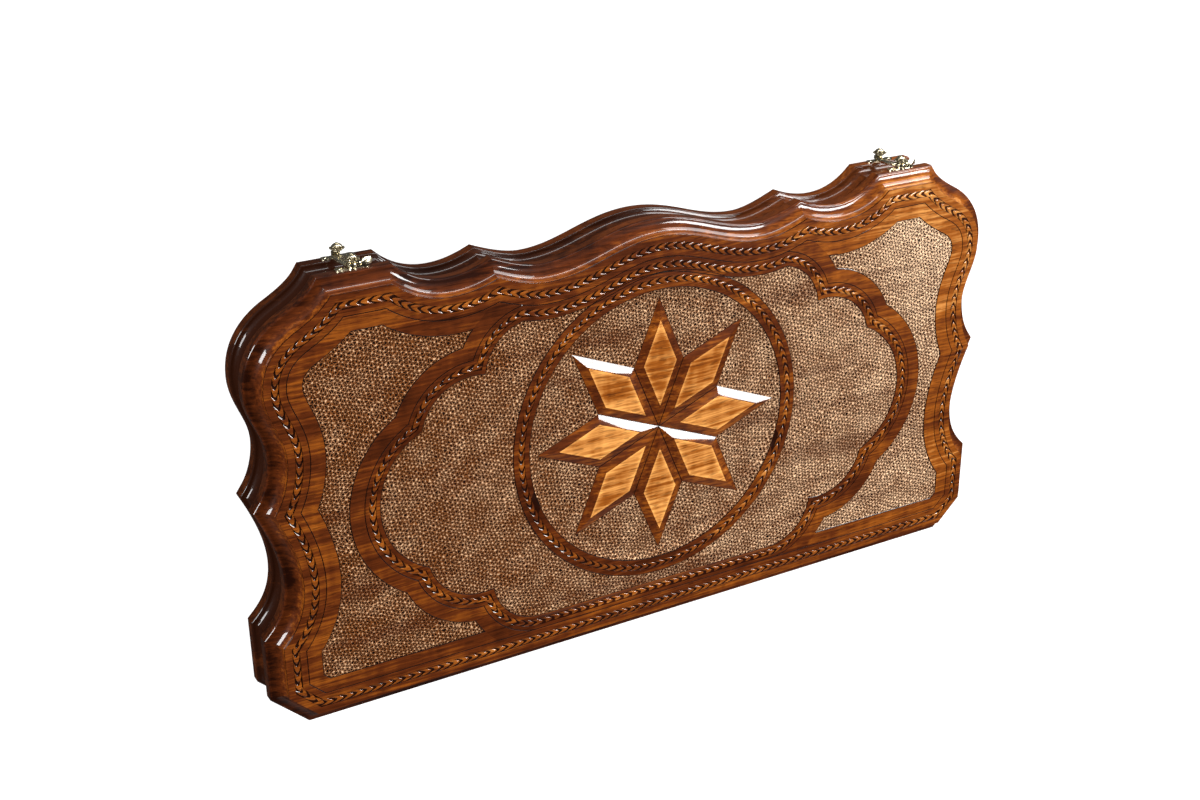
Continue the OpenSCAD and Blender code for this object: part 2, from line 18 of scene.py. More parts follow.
import bmesh
import bpy
import numpy as np
from mathutils import Matrix, Vector
from mathutils.geometry import delaunay_2d_cdt

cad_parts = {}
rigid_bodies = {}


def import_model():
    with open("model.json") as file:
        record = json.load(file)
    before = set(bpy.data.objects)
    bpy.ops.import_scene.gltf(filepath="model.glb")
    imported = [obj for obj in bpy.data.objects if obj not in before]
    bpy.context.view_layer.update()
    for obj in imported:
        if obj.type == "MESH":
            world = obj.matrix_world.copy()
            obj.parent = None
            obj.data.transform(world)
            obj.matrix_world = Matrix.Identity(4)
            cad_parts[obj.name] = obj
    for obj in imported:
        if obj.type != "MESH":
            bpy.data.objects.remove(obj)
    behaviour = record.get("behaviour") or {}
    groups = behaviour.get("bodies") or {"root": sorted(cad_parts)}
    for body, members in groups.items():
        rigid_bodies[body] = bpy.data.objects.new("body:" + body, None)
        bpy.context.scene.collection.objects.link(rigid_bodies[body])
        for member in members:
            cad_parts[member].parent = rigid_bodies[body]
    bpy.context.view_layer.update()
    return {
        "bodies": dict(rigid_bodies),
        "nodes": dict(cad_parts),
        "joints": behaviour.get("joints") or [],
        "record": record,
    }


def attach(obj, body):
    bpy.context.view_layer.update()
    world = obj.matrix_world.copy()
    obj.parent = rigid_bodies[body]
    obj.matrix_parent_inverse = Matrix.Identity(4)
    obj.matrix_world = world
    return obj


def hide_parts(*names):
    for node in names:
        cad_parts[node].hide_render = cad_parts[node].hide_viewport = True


LOG = logging.getLogger("board")
MM = 0.001
SIDES = {"left": -1, "right": 1}
Colour = tuple[float, float, float]
Place = tuple[float, float, float]
Circle = tuple[float, float, float]
Path = np.ndarray
Knot = Sequence[float]
Stretch = list[tuple[Knot, np.ndarray, np.ndarray, Knot]]
FAR = 1e9
WHITE: Colour = (1.0, 1.0, 1.0)


class Half(Enum):
    """The two halves of the case, by the body that each one rides on."""

    BASE = "base"
    LID = "lid"


class Slot(Enum):
    """Names of the record's material slots; the pieces made here don't use them."""

    CARVED = "carved_wood"
    RAIL = "rail_wood"
    BRASS = "brass"


class Domain(Enum):
    """What a mesh attribute is written on."""

    POINT = "POINT"
    CORNER = "CORNER"
    FACE = "FACE"


def heading(degrees: float) -> np.ndarray:
    """Unit vector at that angle."""
    return np.array([math.cos(math.radians(degrees)), math.sin(math.radians(degrees))])


# ---------------------------------------------------------------- shader bench


class Wire:
    """A node's output that Python's operators reckon with through Math nodes."""

    def __init__(self, bench: Bench, socket: bpy.types.NodeSocket) -> None:
        """Keep the bench and the output socket.

        Args:
            bench: The bench that makes further nodes.
            socket: The output that this wire stands for.
        """
        self.bench = bench
        self.socket = socket

    def _math(self, operation: str, first: Any, second: Any = 0.0) -> Wire:
        """One Math node's result."""
        return self.bench.node("ShaderNodeMath", {"operation": operation}, {0: first, 1: second})

    def __add__(self, other: Any) -> Wire:
        """Sum."""
        return self._math("ADD", self, other)

    def __radd__(self, other: Any) -> Wire:
        """Sum, reflected."""
        return self._math("ADD", other, self)

    def __sub__(self, other: Any) -> Wire:
        """Difference."""
        return self._math("SUBTRACT", self, other)

    def __rsub__(self, other: Any) -> Wire:
        """Difference, reflected."""
        return self._math("SUBTRACT", other, self)

    def __mul__(self, other: Any) -> Wire:
        """Product."""
        return self._math("MULTIPLY", self, other)

    def __rmul__(self, other: Any) -> Wire:
        """Product, reflected."""
        return self._math("MULTIPLY", other, self)

    def cos(self) -> Wire:
        """Cosine."""
        return self._math("COSINE", self)

    def most(self, other: Any) -> Wire:
        """The higher of two values."""
        return self._math("MAXIMUM", self, other)

    def between(self, low: float, high: float) -> Wire:
        """Smooth step.

        Args:
            low: Where the step starts.
            high: Where it ends; below low for a falling step.

        Returns:
            A value from 0 at low to 1 at high.
        """
        settings = {"interpolation_type": "SMOOTHSTEP", "clamp": True}
        ends = (0.0, 1.0) if low < high else (1.0, 0.0)
        return self.bench.node(
            "ShaderNodeMapRange",
            settings,
            {"Value": self, "From Min": min(low, high), "From Max": max(low, high),
             "To Min": ends[0], "To Max": ends[1]},
        )


class Bench:
    """A node tree on which finishes are put together."""

    def __init__(self, tree: bpy.types.NodeTree) -> None:
        """Empty the tree and keep it.

        Args:
            tree: The tree of a material or of the world.
        """
        self.tree = tree
        tree.nodes.clear()

    @staticmethod
    def _socket(sockets: Any, key: int | str) -> bpy.types.NodeSocket:
        """Find a socket.

        Args:
            sockets: The inputs or outputs of a node.
            key: Its place, identifier or name.

        Returns:
            The socket.
        """
        if isinstance(key, int):
            return sockets[key]
        for socket in sockets:
            if socket.identifier == key:
                return socket
        return sockets[key]

    def node(
        self,
        kind: str,
        settings: dict[str, Any] | None = None,
        inputs: dict[int | str, Any] | None = None,
        out: int | str = 0,
    ) -> Wire:
        """Make a node.

        Args:
            kind: The node's type.
            settings: Its properties; "stops" holds a ramp's places and colours.
            inputs: Values or wires by socket.
            out: The output that is wanted.

        Returns:
            The wire of that output.
        """
        made = self.tree.nodes.new(kind)
        for name, value in (settings or {}).items():
            if name == "stops":
                ramp = made.color_ramp
                while len(ramp.elements) < len(value):
                    ramp.elements.new(1.0)
                for element, (place, colour) in zip(ramp.elements, value):
                    element.position = place
                    element.color = (*colour, 1.0)
            else:
                setattr(made, name, value)
        for key, value in (inputs or {}).items():
            socket = self._socket(made.inputs, key)
            if isinstance(value, Wire):
                self.tree.links.new(value.socket, socket)
            elif socket.type == "RGBA" and len(value) == 3:
                socket.default_value = (*value, 1.0)
            else:
                socket.default_value = value
        return Wire(self, self._socket(made.outputs, out))

    def places(self) -> Wire:
        """Object coordinates."""
        return self.node("ShaderNodeTexCoord", out="Object")

    def mapped(self, vector: Wire, scale: Place, turn: Place = (0.0, 0.0, 0.0)) -> Wire:
        """Coordinates scaled along each axis and turned, in radians."""
        return self.node("ShaderNodeMapping", {},
                         {"Vector": vector, "Rotation": turn, "Scale": scale})

    def noise(self, vector: Wire, scale: float = 1.0, detail: float = 3.0,
              rough: float = 0.5, out: str = "Fac") -> Wire:
        """Noise value or colour."""
        return self.node(
            "ShaderNodeTexNoise", {},
            {"Vector": vector, "Scale": scale, "Detail": detail, "Roughness": rough}, out,
        )

    def ramp(self, value: Wire, stops: Sequence[tuple[float, Colour]]) -> Wire:
        """Colour ramp over a value."""
        return self.node("ShaderNodeValToRGB", {"stops": stops}, {"Fac": value}, "Color")

    def mix(self, factor: Any, first: Any, second: Any) -> Wire:
        """Two colours or wires mixed, with that share of the second."""
        return self.node(
            "ShaderNodeMix", {"data_type": "RGBA"},
            {"Factor_Float": factor, "A_Color": first, "B_Color": second}, "Result_Color",
        )

    def shift(self, vector: Wire, by: Wire, amount: float) -> Wire:
        """Coordinates pushed about by a noise colour.

        Args:
            vector: Coordinates.
            by: Noise colour from 0 to 1.
            amount: Full reach of the push.

        Returns:
            The pushed coordinates.
        """
        centred = self._vector("SUBTRACT", {0: by, 1: (0.5, 0.5, 0.5)})
        scaled = self._vector("SCALE", {0: centred, "Scale": amount})
        return self._vector("ADD", {0: vector, 1: scaled})

    def _vector(self, operation: str, inputs: dict[int | str, Any], out: str = "Vector") -> Wire:
        """One Vector Math node's result."""
        return self.node("ShaderNodeVectorMath", {"operation": operation}, inputs, out)

    def dot(self, vector: Wire, other: Place) -> Wire:
        """Dot product with a fixed vector."""
        return self._vector("DOT_PRODUCT", {0: vector, 1: other}, "Value")

    def length(self, vector: Wire) -> Wire:
        """Length of a vector."""
        return self._vector("LENGTH", {0: vector}, "Value")

    def seen(self) -> Wire:
        """1 for rays from the camera."""
        return self.node("ShaderNodeLightPath", out="Is Camera Ray")

    def mirrored(self) -> Wire:
        """1 for rays that gloss or glass sends on."""
        glossy = self.node("ShaderNodeLightPath", out="Is Glossy Ray")
        return glossy.most(self.node("ShaderNodeLightPath", out="Is Transmission Ray"))

    def attribute(self, name: str) -> Wire:
        """A mesh attribute's value."""
        return self.node("ShaderNodeAttribute", {"attribute_name": name}, out="Fac")

    def bump(self, height: Wire, distance: float) -> Wire:
        """Normal from a height, where 1 stands for that distance in metres."""
        return self.node("ShaderNodeBump", {},
                         {"Height": height, "Distance": distance, "Strength": 1.0}, "Normal")

    def finish(self, **sockets: Any) -> None:
        """End the tree in a Principled shader.

        Args:
            sockets: Values or wires by socket name, with _ for a space.
        """
        values = {key.replace("_", " "): value for key, value in sockets.items()}
        shader = self.node("ShaderNodeBsdfPrincipled", {}, values, "BSDF")
        self.surface(shader, "ShaderNodeOutputMaterial")

    def surface(self, shader: Wire, kind: str) -> None:
        """Link a shader to an output node of that type."""
        output = self.tree.nodes.new(kind)
        self.tree.links.new(shader.socket, output.inputs["Surface"])


def new_material(name: str) -> tuple[bpy.types.Material, Bench]:
    """Make a material with an empty bench.

    Args:
        name: The material's name.

    Returns:
        The material and its bench.
    """
    material = bpy.data.materials.new(name)
    material.use_nodes = True
    return material, Bench(material.node_tree)


# ---------------------------------------------------------------- finishes

VARNISH: dict[str, float] = {"Specular_IOR_Level": 0.04, "Coat_IOR": 1.38}


@dataclass(frozen=True)
class CarvedWood:
    """Varnished walnut with burnt lines and punched grounds, led by the mesh's attributes."""

    name: str = "carved_walnut"
    deep: Colour = (0.016, 0.0032, 0.0010)
    brown: Colour = (0.092, 0.019, 0.0035)
    russet: Colour = (0.27, 0.072, 0.0070)
    honey: Colour = (0.82, 0.37, 0.095)
    burnt: Colour = (0.0050, 0.0020, 0.0014)
    # The punched grounds' ridges mix a shaded colour with a lit one, and the pale pair are paler
    # copies for the painted haze to the right.
    web_shade: Colour = (0.150, 0.044, 0.0080)
    web_light: Colour = (0.88, 0.56, 0.32)
    painted_haze_shade: Colour = (0.22, 0.085, 0.032)
    painted_haze_light: Colour = (1.0, 0.70, 0.45)
    pit_pitch: float = 3.2
    punch_depth: float = 1.0
    grain_sway: float = 12.0
    punch_drift: float = 10.0
    punch_sway: float = 3.6

    def build(self) -> bpy.types.Material:
        """Put the finish together.

        Returns:
            The material.
        """
        material, bench = new_material(self.name)
        place = bench.places()
        sway = bench.noise(bench.mapped(place, (5, 9, 9)), detail=1.0, out="Color")
        warped = bench.shift(place, sway, self.grain_sway * MM)
        figure = bench.noise(bench.mapped(warped, (7, 60, 60)), detail=2.0)
        streak = bench.noise(bench.mapped(warped, (16, 300, 300)), detail=3.0, rough=0.6)
        ring = bench.noise(bench.mapped(warped, (5, 520, 520)), detail=1.0)
        fibre = bench.noise(bench.mapped(place, (110, 1700, 1700)), detail=1.0)
        pore = bench.noise(bench.mapped(warped, (120, 800, 800)), detail=0.0).between(0.60, 0.70)
        curl = bench.noise(bench.mapped(warped, (120, 24, 24)), detail=2.0)
        tone = bench.attribute("tone")
        # pale paints light across the board: paler towards the right and top right, a painted
        # reflection haze, and darker towards the left, a painted falloff of the light.
        pale = (bench.dot(place, (1.0, -0.1, 0.0)).between(-0.34, 0.38) * 0.6
                + bench.dot(place, (1.0, 1.0, 0.0)).between(0.20, 0.40) * 0.6)
        shade = (tone + (figure - 0.5) * 0.55 + (streak - 0.5) * 0.50 + (ring - 0.5) * 0.42
                 + (curl - 0.5) * 0.25 + (fibre - 0.5) * 0.18 + (pale - 0.55) * 0.22)
        wood = bench.ramp(shade, [(0.04, self.deep), (0.36, self.brown), (0.60, self.russet),
                                  (0.95, self.honey)])
        wood = bench.mix(pore * 0.4, wood, self.deep)

        peak, total = self._punch(bench, place)
        web, crest = peak.between(0.42, 0.68), peak.between(0.72, 0.97)
        node = total.between(1.5, 2.95)
        spots = bench.noise(bench.mapped(place, (60, 60, 60)), detail=3.0)
        stain = bench.noise(bench.mapped(warped, (5, 62, 62)), detail=2.0).between(0.56, 0.70)
        # Painted highlights: the grounds' crests and knots take the lit colour, the crests more so
        # where the painted haze is.
        lit = (crest * (0.22 + pale * 0.70) + node * 0.50 + (spots - 0.5) * 0.8).between(0.06, 1.2)
        ridge = bench.mix(lit, bench.mix(pale, self.web_shade, self.painted_haze_shade),
                          bench.mix(pale, self.web_light, self.painted_haze_light))
        ridge = bench.mix(stain * 0.45, ridge, self.brown)
        punched = bench.mix(web, self.burnt, ridge)
        ground = bench.attribute("ground")
        burn = bench.attribute("burn")
        colour = bench.mix(ground, wood, punched)
        # The burn attribute darkens the burnt lines, and on the scales it carries painted shade at
        # their ends and sides.
        colour = bench.mix(burn.between(0.05, 0.6), colour, self.burnt)

        height = (ground * (web * 0.35 + crest * 0.25 + node * 0.3)
                  + (1.0 - ground) * (ring * 0.03 + fibre * 0.02))
        rough = 0.30 + streak * 0.12 + ground * 0.20
        bench.finish(
            Base_Color=colour,
            Roughness=rough,
            Normal=bench.bump(height, self.punch_depth * MM),
            Coat_Weight=0.80 - ground * 0.50,
            Coat_Roughness=0.06,
            **VARNISH,
        )
        return material

    def _punch(self, bench: Bench, place: Wire) -> tuple[Wire, Wire]:
        """Triangular punch marks between three crossing sets of ridges.

        Args:
            bench: The bench to work on.
            place: Object coordinates.

        Returns:
            The highest of the three waves, from -0.5 in the pits to 1 on the ridges, and
            their sum, up to 3 on the knots where ridges cross.
        """
        drift = bench.noise(bench.mapped(place, (22, 22, 22)), detail=1.0, out="Color")
        sway = bench.noise(bench.mapped(place, (300, 300, 300)), detail=1.0, out="Color")
        drifted = bench.shift(place, drift, self.punch_drift * MM)
        jig = bench.shift(drifted, sway, self.punch_sway * MM)
        row = self.pit_pitch * MM * math.sqrt(3) / 2
        first, second, third = (
            bench.dot(jig, (*(heading(turn) * 2 * math.pi / row), 0.0)).cos()
            for turn in (10.0, 130.0, 250.0)
        )
        return first.most(second).most(third), first + second + third


@dataclass(frozen=True)
class SawnWood:
    """Plain wood with grain along the board, satin or varnished."""

    name: str
    deep: Colour
    middle: Colour
    bright: Colour
    tone: float = 0.5
    gloss: float = 0.3
    coat: float = 0.4
    follow_tone: bool = False
    # Painted light falloff from left to right.
    painted_falloff: float = 0.0
    grain_sway: float = 14.0
    grain_depth: float = 0.08

    def build(self) -> bpy.types.Material:
        """Put the finish together.

        Returns:
            The material.
        """
        material, bench = new_material(self.name)
        place = bench.places()
        sway = bench.noise(bench.mapped(place, (5, 9, 9)), detail=1.0, out="Color")
        warped = bench.shift(place, sway, self.grain_sway * MM)
        figure = bench.noise(bench.mapped(warped, (6, 70, 70)), detail=2.0)
        streak = bench.noise(bench.mapped(warped, (16, 460, 460)), detail=4.0, rough=0.6)
        pore = bench.noise(bench.mapped(warped, (70, 1100, 1100)), detail=0.0).between(0.62, 0.72)
        tone: Any = bench.attribute("tone") if self.follow_tone else self.tone
        # Painted light falloff: the wood is shaded darker towards the left and lighter towards the
        # right.
        pale = bench.dot(place, (1.0, -0.5, 0.0)).between(-0.36, 0.26)
        shade = (figure - 0.5) * 0.5 + (streak - 0.5) * 0.6 + tone + (pale - 0.5) * self.painted_falloff
        wood = bench.ramp(shade, [(0.1, self.deep), (0.5, self.middle), (0.9, self.bright)])
        wood = bench.mix(pore * 0.5, wood, self.deep)
        bench.finish(
            Base_Color=wood,
            Roughness=self.gloss + streak * 0.15,
            Normal=bench.bump(streak * 0.6 + pore * -0.4, self.grain_depth * MM),
            Coat_Weight=self.coat,
            Coat_Roughness=0.07,
            **VARNISH,
        )
        return material


@dataclass(frozen=True)
class CastMetal:
    """Cast or drawn metal with darker hollows, tarnish and fine scratches."""

    name: str
    colour: Colour
    tarnish: Colour
    rough: float = 0.3
    spots: float = 0.35
    relief: float = 0.06

    def build(self) -> bpy.types.Material:
        """Put the finish together.

        Returns:
            The material.
        """
        material, bench = new_material(self.name)
        place = bench.places()
        cloud = bench.noise(bench.mapped(place, (320, 320, 320)), detail=3.0)
        scratch = bench.noise(bench.mapped(place, (900, 5200, 900), (0, 0, 0.4)), detail=1.0)
        grain = bench.noise(bench.mapped(place, (2600, 2600, 2600)), detail=1.0)
        dull = cloud.between(0.48, 0.72) * self.spots + scratch.between(0.6, 0.8) * 0.12
        dull = dull.most(bench.attribute("burn"))
        bench.finish(
            Base_Color=bench.mix(dull, self.colour, self.tarnish),
            Metallic=1.0,
            Roughness=self.rough + dull * 0.45,
            Normal=bench.bump(grain * 0.5 + cloud * 0.5, self.relief * MM),
        )
        return material


class Finishes:
    """All the materials of the board, each built once."""

    def __init__(self) -> None:
        """Build every finish."""
        satin = {"gloss": 0.45, "coat": 0.08}
        self.carved = CarvedWood().build()
        self.rail = SawnWood("rail_walnut", (0.020, 0.005, 0.0018), (0.130, 0.031, 0.006),
                             (0.46, 0.14, 0.020), coat=0.6, follow_tone=True, painted_falloff=0.4).build()
        self.board = SawnWood("playing_walnut", (0.07, 0.026, 0.010), (0.17, 0.070, 0.026),
                              (0.30, 0.14, 0.055), **satin).build()
        self.maple = SawnWood("maple_inlay", (0.44, 0.26, 0.11), (0.62, 0.41, 0.20),
                              (0.74, 0.54, 0.30), **satin).build()
        self.wenge = SawnWood("dark_inlay", (0.012, 0.006, 0.004), (0.035, 0.016, 0.009),
                              (0.075, 0.034, 0.018), **satin).build()
        self.brass = CastMetal("pale_brass", (0.86, 0.78, 0.56), (0.10, 0.07, 0.03),
                               rough=0.20).build()
        self.hinge = CastMetal("aged_brass", (0.62, 0.46, 0.22), (0.40, 0.27, 0.12),
                               rough=0.34, relief=0.015).build()
        self.steel = CastMetal("steel", (0.55, 0.53, 0.50), (0.22, 0.17, 0.13)).build()


# ---------------------------------------------------------------- the outline


def circle_path(radius: float, count: int) -> Path:
    """Points evenly round a circle."""
    return np.array([radius * heading(360 / count * k) for k in range(count)])


def path_length(path: Path) -> float:
    """Length of a closed path."""
    return float(np.linalg.norm(np.roll(path, -1, axis=0) - path, axis=1).sum())


def crossing(first: Path, second: Path) -> tuple[int, int, np.ndarray]:
    """Where two open paths cross, closest to the end of the first and the start of the second.

    Args:
        first: Path that arrives.
        second: Path that leaves.

    Returns:
        The crossed step of each path and the point.

    Raises:
        ValueError: If they don't cross.
    """
    a, b = first[:-1, None, :], (first[1:] - first[:-1])[:, None, :]
    c, d = second[None, :-1, :], (second[1:] - second[:-1])[None, :, :]
    turn = b[..., 0] * d[..., 1] - b[..., 1] * d[..., 0]
    turn = np.where(np.abs(turn) < 1e-12, np.nan, turn)
    gap = c - a
    t = (gap[..., 0] * d[..., 1] - gap[..., 1] * d[..., 0]) / turn
    u = (gap[..., 0] * b[..., 1] - gap[..., 1] * b[..., 0]) / turn
    with np.errstate(invalid="ignore"):
        hits = np.argwhere((t >= 0) & (t <= 1) & (u >= 0) & (u <= 1))
    if not len(hits):
        raise ValueError("the paths don't cross")
    best = min(hits, key=lambda h: (len(first) - h[0]) + h[1])
    i, j = int(best[0]), int(best[1])
    return i, j, first[i] + t[i, j] * (first[i + 1] - first[i])


@dataclass
class Outline:
    """Closed edge of the carved face, counter-clockwise, with its corners kept sharp."""

    half_w: float = 290.0
    bottom: float = 151.0
    top: float = 145.0
    spacing: float = 3.0
    pieces: list[tuple[Path, Path]] = field(default_factory=list)

    def __post_init__(self) -> None:
        """Sample every stretch between two corners."""
        w, b, t = self.half_w, self.bottom, self.top
        none = np.zeros(2)
        low, edge = (w - 19.5, -b), (w, 19 - b)
        knee, cusp = (w, 57.5 - b), (w - 3, 4.0)
        waist, side = (w - 14.5, 41.0), (w - 3, t - 57)
        neck, outer, inner = (w - 26.5, t - 19.5), (w - 51.5, t), (w - 93, t)
        nick, dip, crown = (w - 166.5, t - 9.5), ((w - 166.5) * 0.7, t - 19), (0.0, t - 2)
        right = [
            [(low, none, none, edge)],
            [(edge, none, none, knee)],
            [(knee, 36 * heading(135), -42 * heading(65), cusp)],
            [
                (cusp, 14 * heading(126), np.array([0, -11.0]), waist),
                (waist, np.array([0, 19.0]), np.array([0, -17.0]), side),
                (side, np.array([0, 18.5]), -15 * heading(151.5), neck),
                (neck, 10 * heading(151.5), -10 * heading(124), outer),
            ],
            [(outer, none, none, inner)],
            [(inner, 28 * heading(222.5), -28 * heading(157.5), nick)],
        ]
        rise = [
            (nick, 12 * heading(202.5), np.array([12.0, 0]), dip),
            (dip, np.array([-33.0, 0]), np.array([33.0, 0]), crown),
        ]
        flip = np.array([-1.0, 1.0])

        def mirrored(stretch: Stretch) -> Stretch:
            """The same stretch on the other side, run through the other way."""
            return [(np.array(q) * flip, e * flip, s * flip, np.array(p) * flip)
                    for p, s, e, q in reversed(stretch)]

        stretches = right + [rise + mirrored(rise)] + [mirrored(s) for s in reversed(right)]
        stretches.append([(np.array(low) * flip, none, none, low)])
        self.pieces = [self._sampled(s) for s in stretches]

    def _sampled(self, stretch: Stretch) -> tuple[Path, Path]:
        """Walk along one smooth stretch.

        Args:
            stretch: Its curves: start, the handles of start and end, and end. A curve
                whose handles are zero is straight.

        Returns:
            Points and inward normals.
        """
        points: list[np.ndarray] = []
        normals: list[np.ndarray] = []
        for p, leave, arrive, q in stretch:
            p, q = np.array(p, float), np.array(q, float)
            straight = not leave.any() and not arrive.any()
            r, s = (p + (q - p) / 3, q - (q - p) / 3) if straight else (p + leave, q + arrive)
            count = max(3, round(float(np.linalg.norm(q - p)) * 1.04 / self.spacing))
            for i in range(1 if points else 0, count + 1):
                k = i / count
                u = 1 - k
                points.append(u**3 * p + 3 * u * u * k * r + 3 * u * k * k * s + k**3 * q)
                run = u * u * (r - p) + 2 * u * k * (s - r) + k * k * (q - s)
                run = run / np.linalg.norm(run)
                normals.append(np.array([-run[1], run[0]]))
        return np.array(points), np.array(normals)

    def ring(self, inward: float) -> Path:
        """The closed edge moved in, or out where the distance is below zero.

        Args:
            inward: Distance in millimetres.

        Returns:
            The points; outward rings all have the same count.
        """
        moved = [p + inward * n for p, n in self.pieces]
        count = len(moved)
        if inward <= 0:
            for i in range(count):
                j = (i + 1) % count
                m, n = self.pieces[i][1][-1], self.pieces[j][1][0]
                corner = self.pieces[j][0][0] + inward * (m + n) / (1 + float(m @ n))
                moved[i][-1] = corner
                moved[j][0] = corner
            return np.concatenate([p[:-1] for p in moved])
        cuts = [crossing(moved[i], moved[(i + 1) % count]) for i in range(count)]
        rings = []
        for j in range(count):
            _, start, corner = cuts[j - 1]
            stop = cuts[j][0]
            rings.append(np.vstack([corner, moved[j][start + 1:stop + 1]]))
        return np.concatenate(rings)

    def depth(self, points: Path) -> np.ndarray:
        """How far inside the edge points lie.

        Args:
            points: Points.

        Returns:
            The distances; below zero outside the edge.
        """
        edge = self.ring(0.0)
        away = nearest(points, edge, True)
        return np.where(inside(points, edge), away, -away)


def nearest(points: Path, path: Path, closed: bool) -> np.ndarray:
    """Distance of each point to a path.

    Args:
        points: Points.
        path: Path.
        closed: True if its end joins its start.

    Returns:
        The distances.
    """
    ends = np.roll(path, -1, axis=0) if closed else path[1:]
    starts = path if closed else path[:-1]
    run = ends - starts
    square = np.maximum((run * run).sum(axis=1), 1e-12)
    best = np.full(len(points), FAR)
    batch = 2000
    for i in range(0, len(points), batch):
        part = points[i:i + batch, None, :] - starts[None]
        t = np.clip((part * run[None]).sum(axis=2) / square[None], 0, 1)
        away = part - t[..., None] * run[None]
        best[i:i + batch] = np.sqrt((away * away).sum(axis=2).min(axis=1))
    return best


def inside(points: Path, path: Path) -> np.ndarray:
    """Tell which points lie inside a closed path.

    Args:
        points: Points.
        path: Closed path.

    Returns:
        True for each point inside.
    """
    x, y = points[:, 0], points[:, 1]
    hit = np.zeros(len(points), dtype=bool)
    for (ax, ay), (bx, by) in zip(path, np.roll(path, -1, axis=0)):
        if ay == by:
            continue
        spans = (ay > y) != (by > y)
        hit ^= spans & (x < (bx - ax) * (y - ay) / (by - ay) + ax)
    return hit


# ---------------------------------------------------------------- the carved pattern


@dataclass
class Medallion:
    """Lobed band: five lobes a side, a flat foot and the face's own edge on top."""

    outline: Outline
    drop: float = 11.0
    border: float = 15.0
    spacing: float = 3.0
    lobes: tuple[Circle, ...] = ((98.8, -77.0, 48.3), (144.0, -42.0, 51.3), (160.0, 0.0, 67.0),
                                 (144.0, 42.0, 51.3), (98.8, 77.0, 48.3))
    crown_from_x: float = -60.0
    crown_from_y: float = 40.0

    def chain(self, out: float) -> Path:
        """Right half of the lobes' edge, from the foot's middle to the far end of the top lobe.

        Args:
            out: How far the edge is moved out.

        Returns:
            The open path.
        """
        circles = [(np.array([x, y - self.drop]), r + out) for x, y, r in self.lobes]
        foot = circles[0][0] - np.array([0, circles[0][1]])
        path = [np.array([0.0, foot[1]])]
        steps = round(foot[0] / self.spacing)
        path += [np.array([foot[0] * i / steps, foot[1]]) for i in range(1, steps)]
        arrive = foot
        for i, (centre, radius) in enumerate(circles):
            leave = (self._meet(circles[i], circles[i + 1]) if i + 1 < len(circles)
                     else centre + radius * heading(178))
            a, b = (math.atan2(*(p - centre)[::-1]) for p in (arrive, leave))
            if b < a:
                b += 2 * math.pi
            steps = max(3, round((b - a) * radius / self.spacing))
            path += [centre + radius * np.array([math.cos(v), math.sin(v)])
                     for v in np.linspace(a, b, steps, endpoint=False)]
            arrive = leave
        return np.array(path + [arrive])

    @staticmethod
    def _meet(first: tuple[np.ndarray, float], second: tuple[np.ndarray, float]) -> np.ndarray:
        """Cross two circles.

        Args:
            first: Centre and radius.
            second: Centre and radius.

        Returns:
            Their outer crossing.
        """
        (p, r), (q, s) = first, second
        gap = float(np.linalg.norm(q - p))
        along = (r * r - s * s + gap * gap) / (2 * gap)
        run = (q - p) / gap
        rise = math.sqrt(r * r - along * along) * np.array([run[1], -run[0]])
        middle = p + along * run
        return max(middle + rise, middle - rise, key=lambda v: v[0])

    def loop(self, out: float) -> Path:
        """Closed edge of the medallion, moved out by a distance that is zero or below.

        Args:
            out: How far the edge is moved out.

        Returns:
            The closed path, counter-clockwise.
        """
        half = self.chain(out)
        ring = self.outline.ring(self.border - out)
        top = ring[(ring[:, 1] > self.crown_from_y) & (ring[:, 0] > self.crown_from_x)]
        i, j, meet = self._first_crossing(half, top)
        crown = top[j + 1:]
        crown = crown[crown[:, 0] > 1e-6]
        right = np.vstack([half[:i + 1], meet, crown])
        left = right[::-1] * np.array([-1.0, 1.0])
        middle = ring[(np.abs(ring[:, 0]) < 1e-6) & (ring[:, 1] > 0)][:1]
        return np.vstack([right, middle, left[:-1]])

    @staticmethod
    def _first_crossing(path: Path, other: Path) -> tuple[int, int, np.ndarray]:
        """First place along a path where it crosses another one.

        Args:
            path: Open path.
            other: Open path that it crosses.

        Returns:
            The crossed step of each path and the point.
        """
        found = crossing(path, other)
        while found[0]:
            try:
                found = crossing(path[:found[0] + 1], other)
            except ValueError:
                break
        return found

    def distance(self, points: Path) -> np.ndarray:
        """How far outside the lobes points lie, without the top edge.

        Args:
            points: Points of the face.

        Returns:
            The distances; below zero inside the lobes.
        """
        x, y = np.abs(points[:, 0]), points[:, 1] + self.drop
        first = self.lobes[0]
        best = np.where(x <= first[0], first[1] - first[2] - y, FAR)
        for cx, cy, r in self.lobes:
            best = np.minimum(best, np.hypot(x - cx, y - cy) - r)
        return best


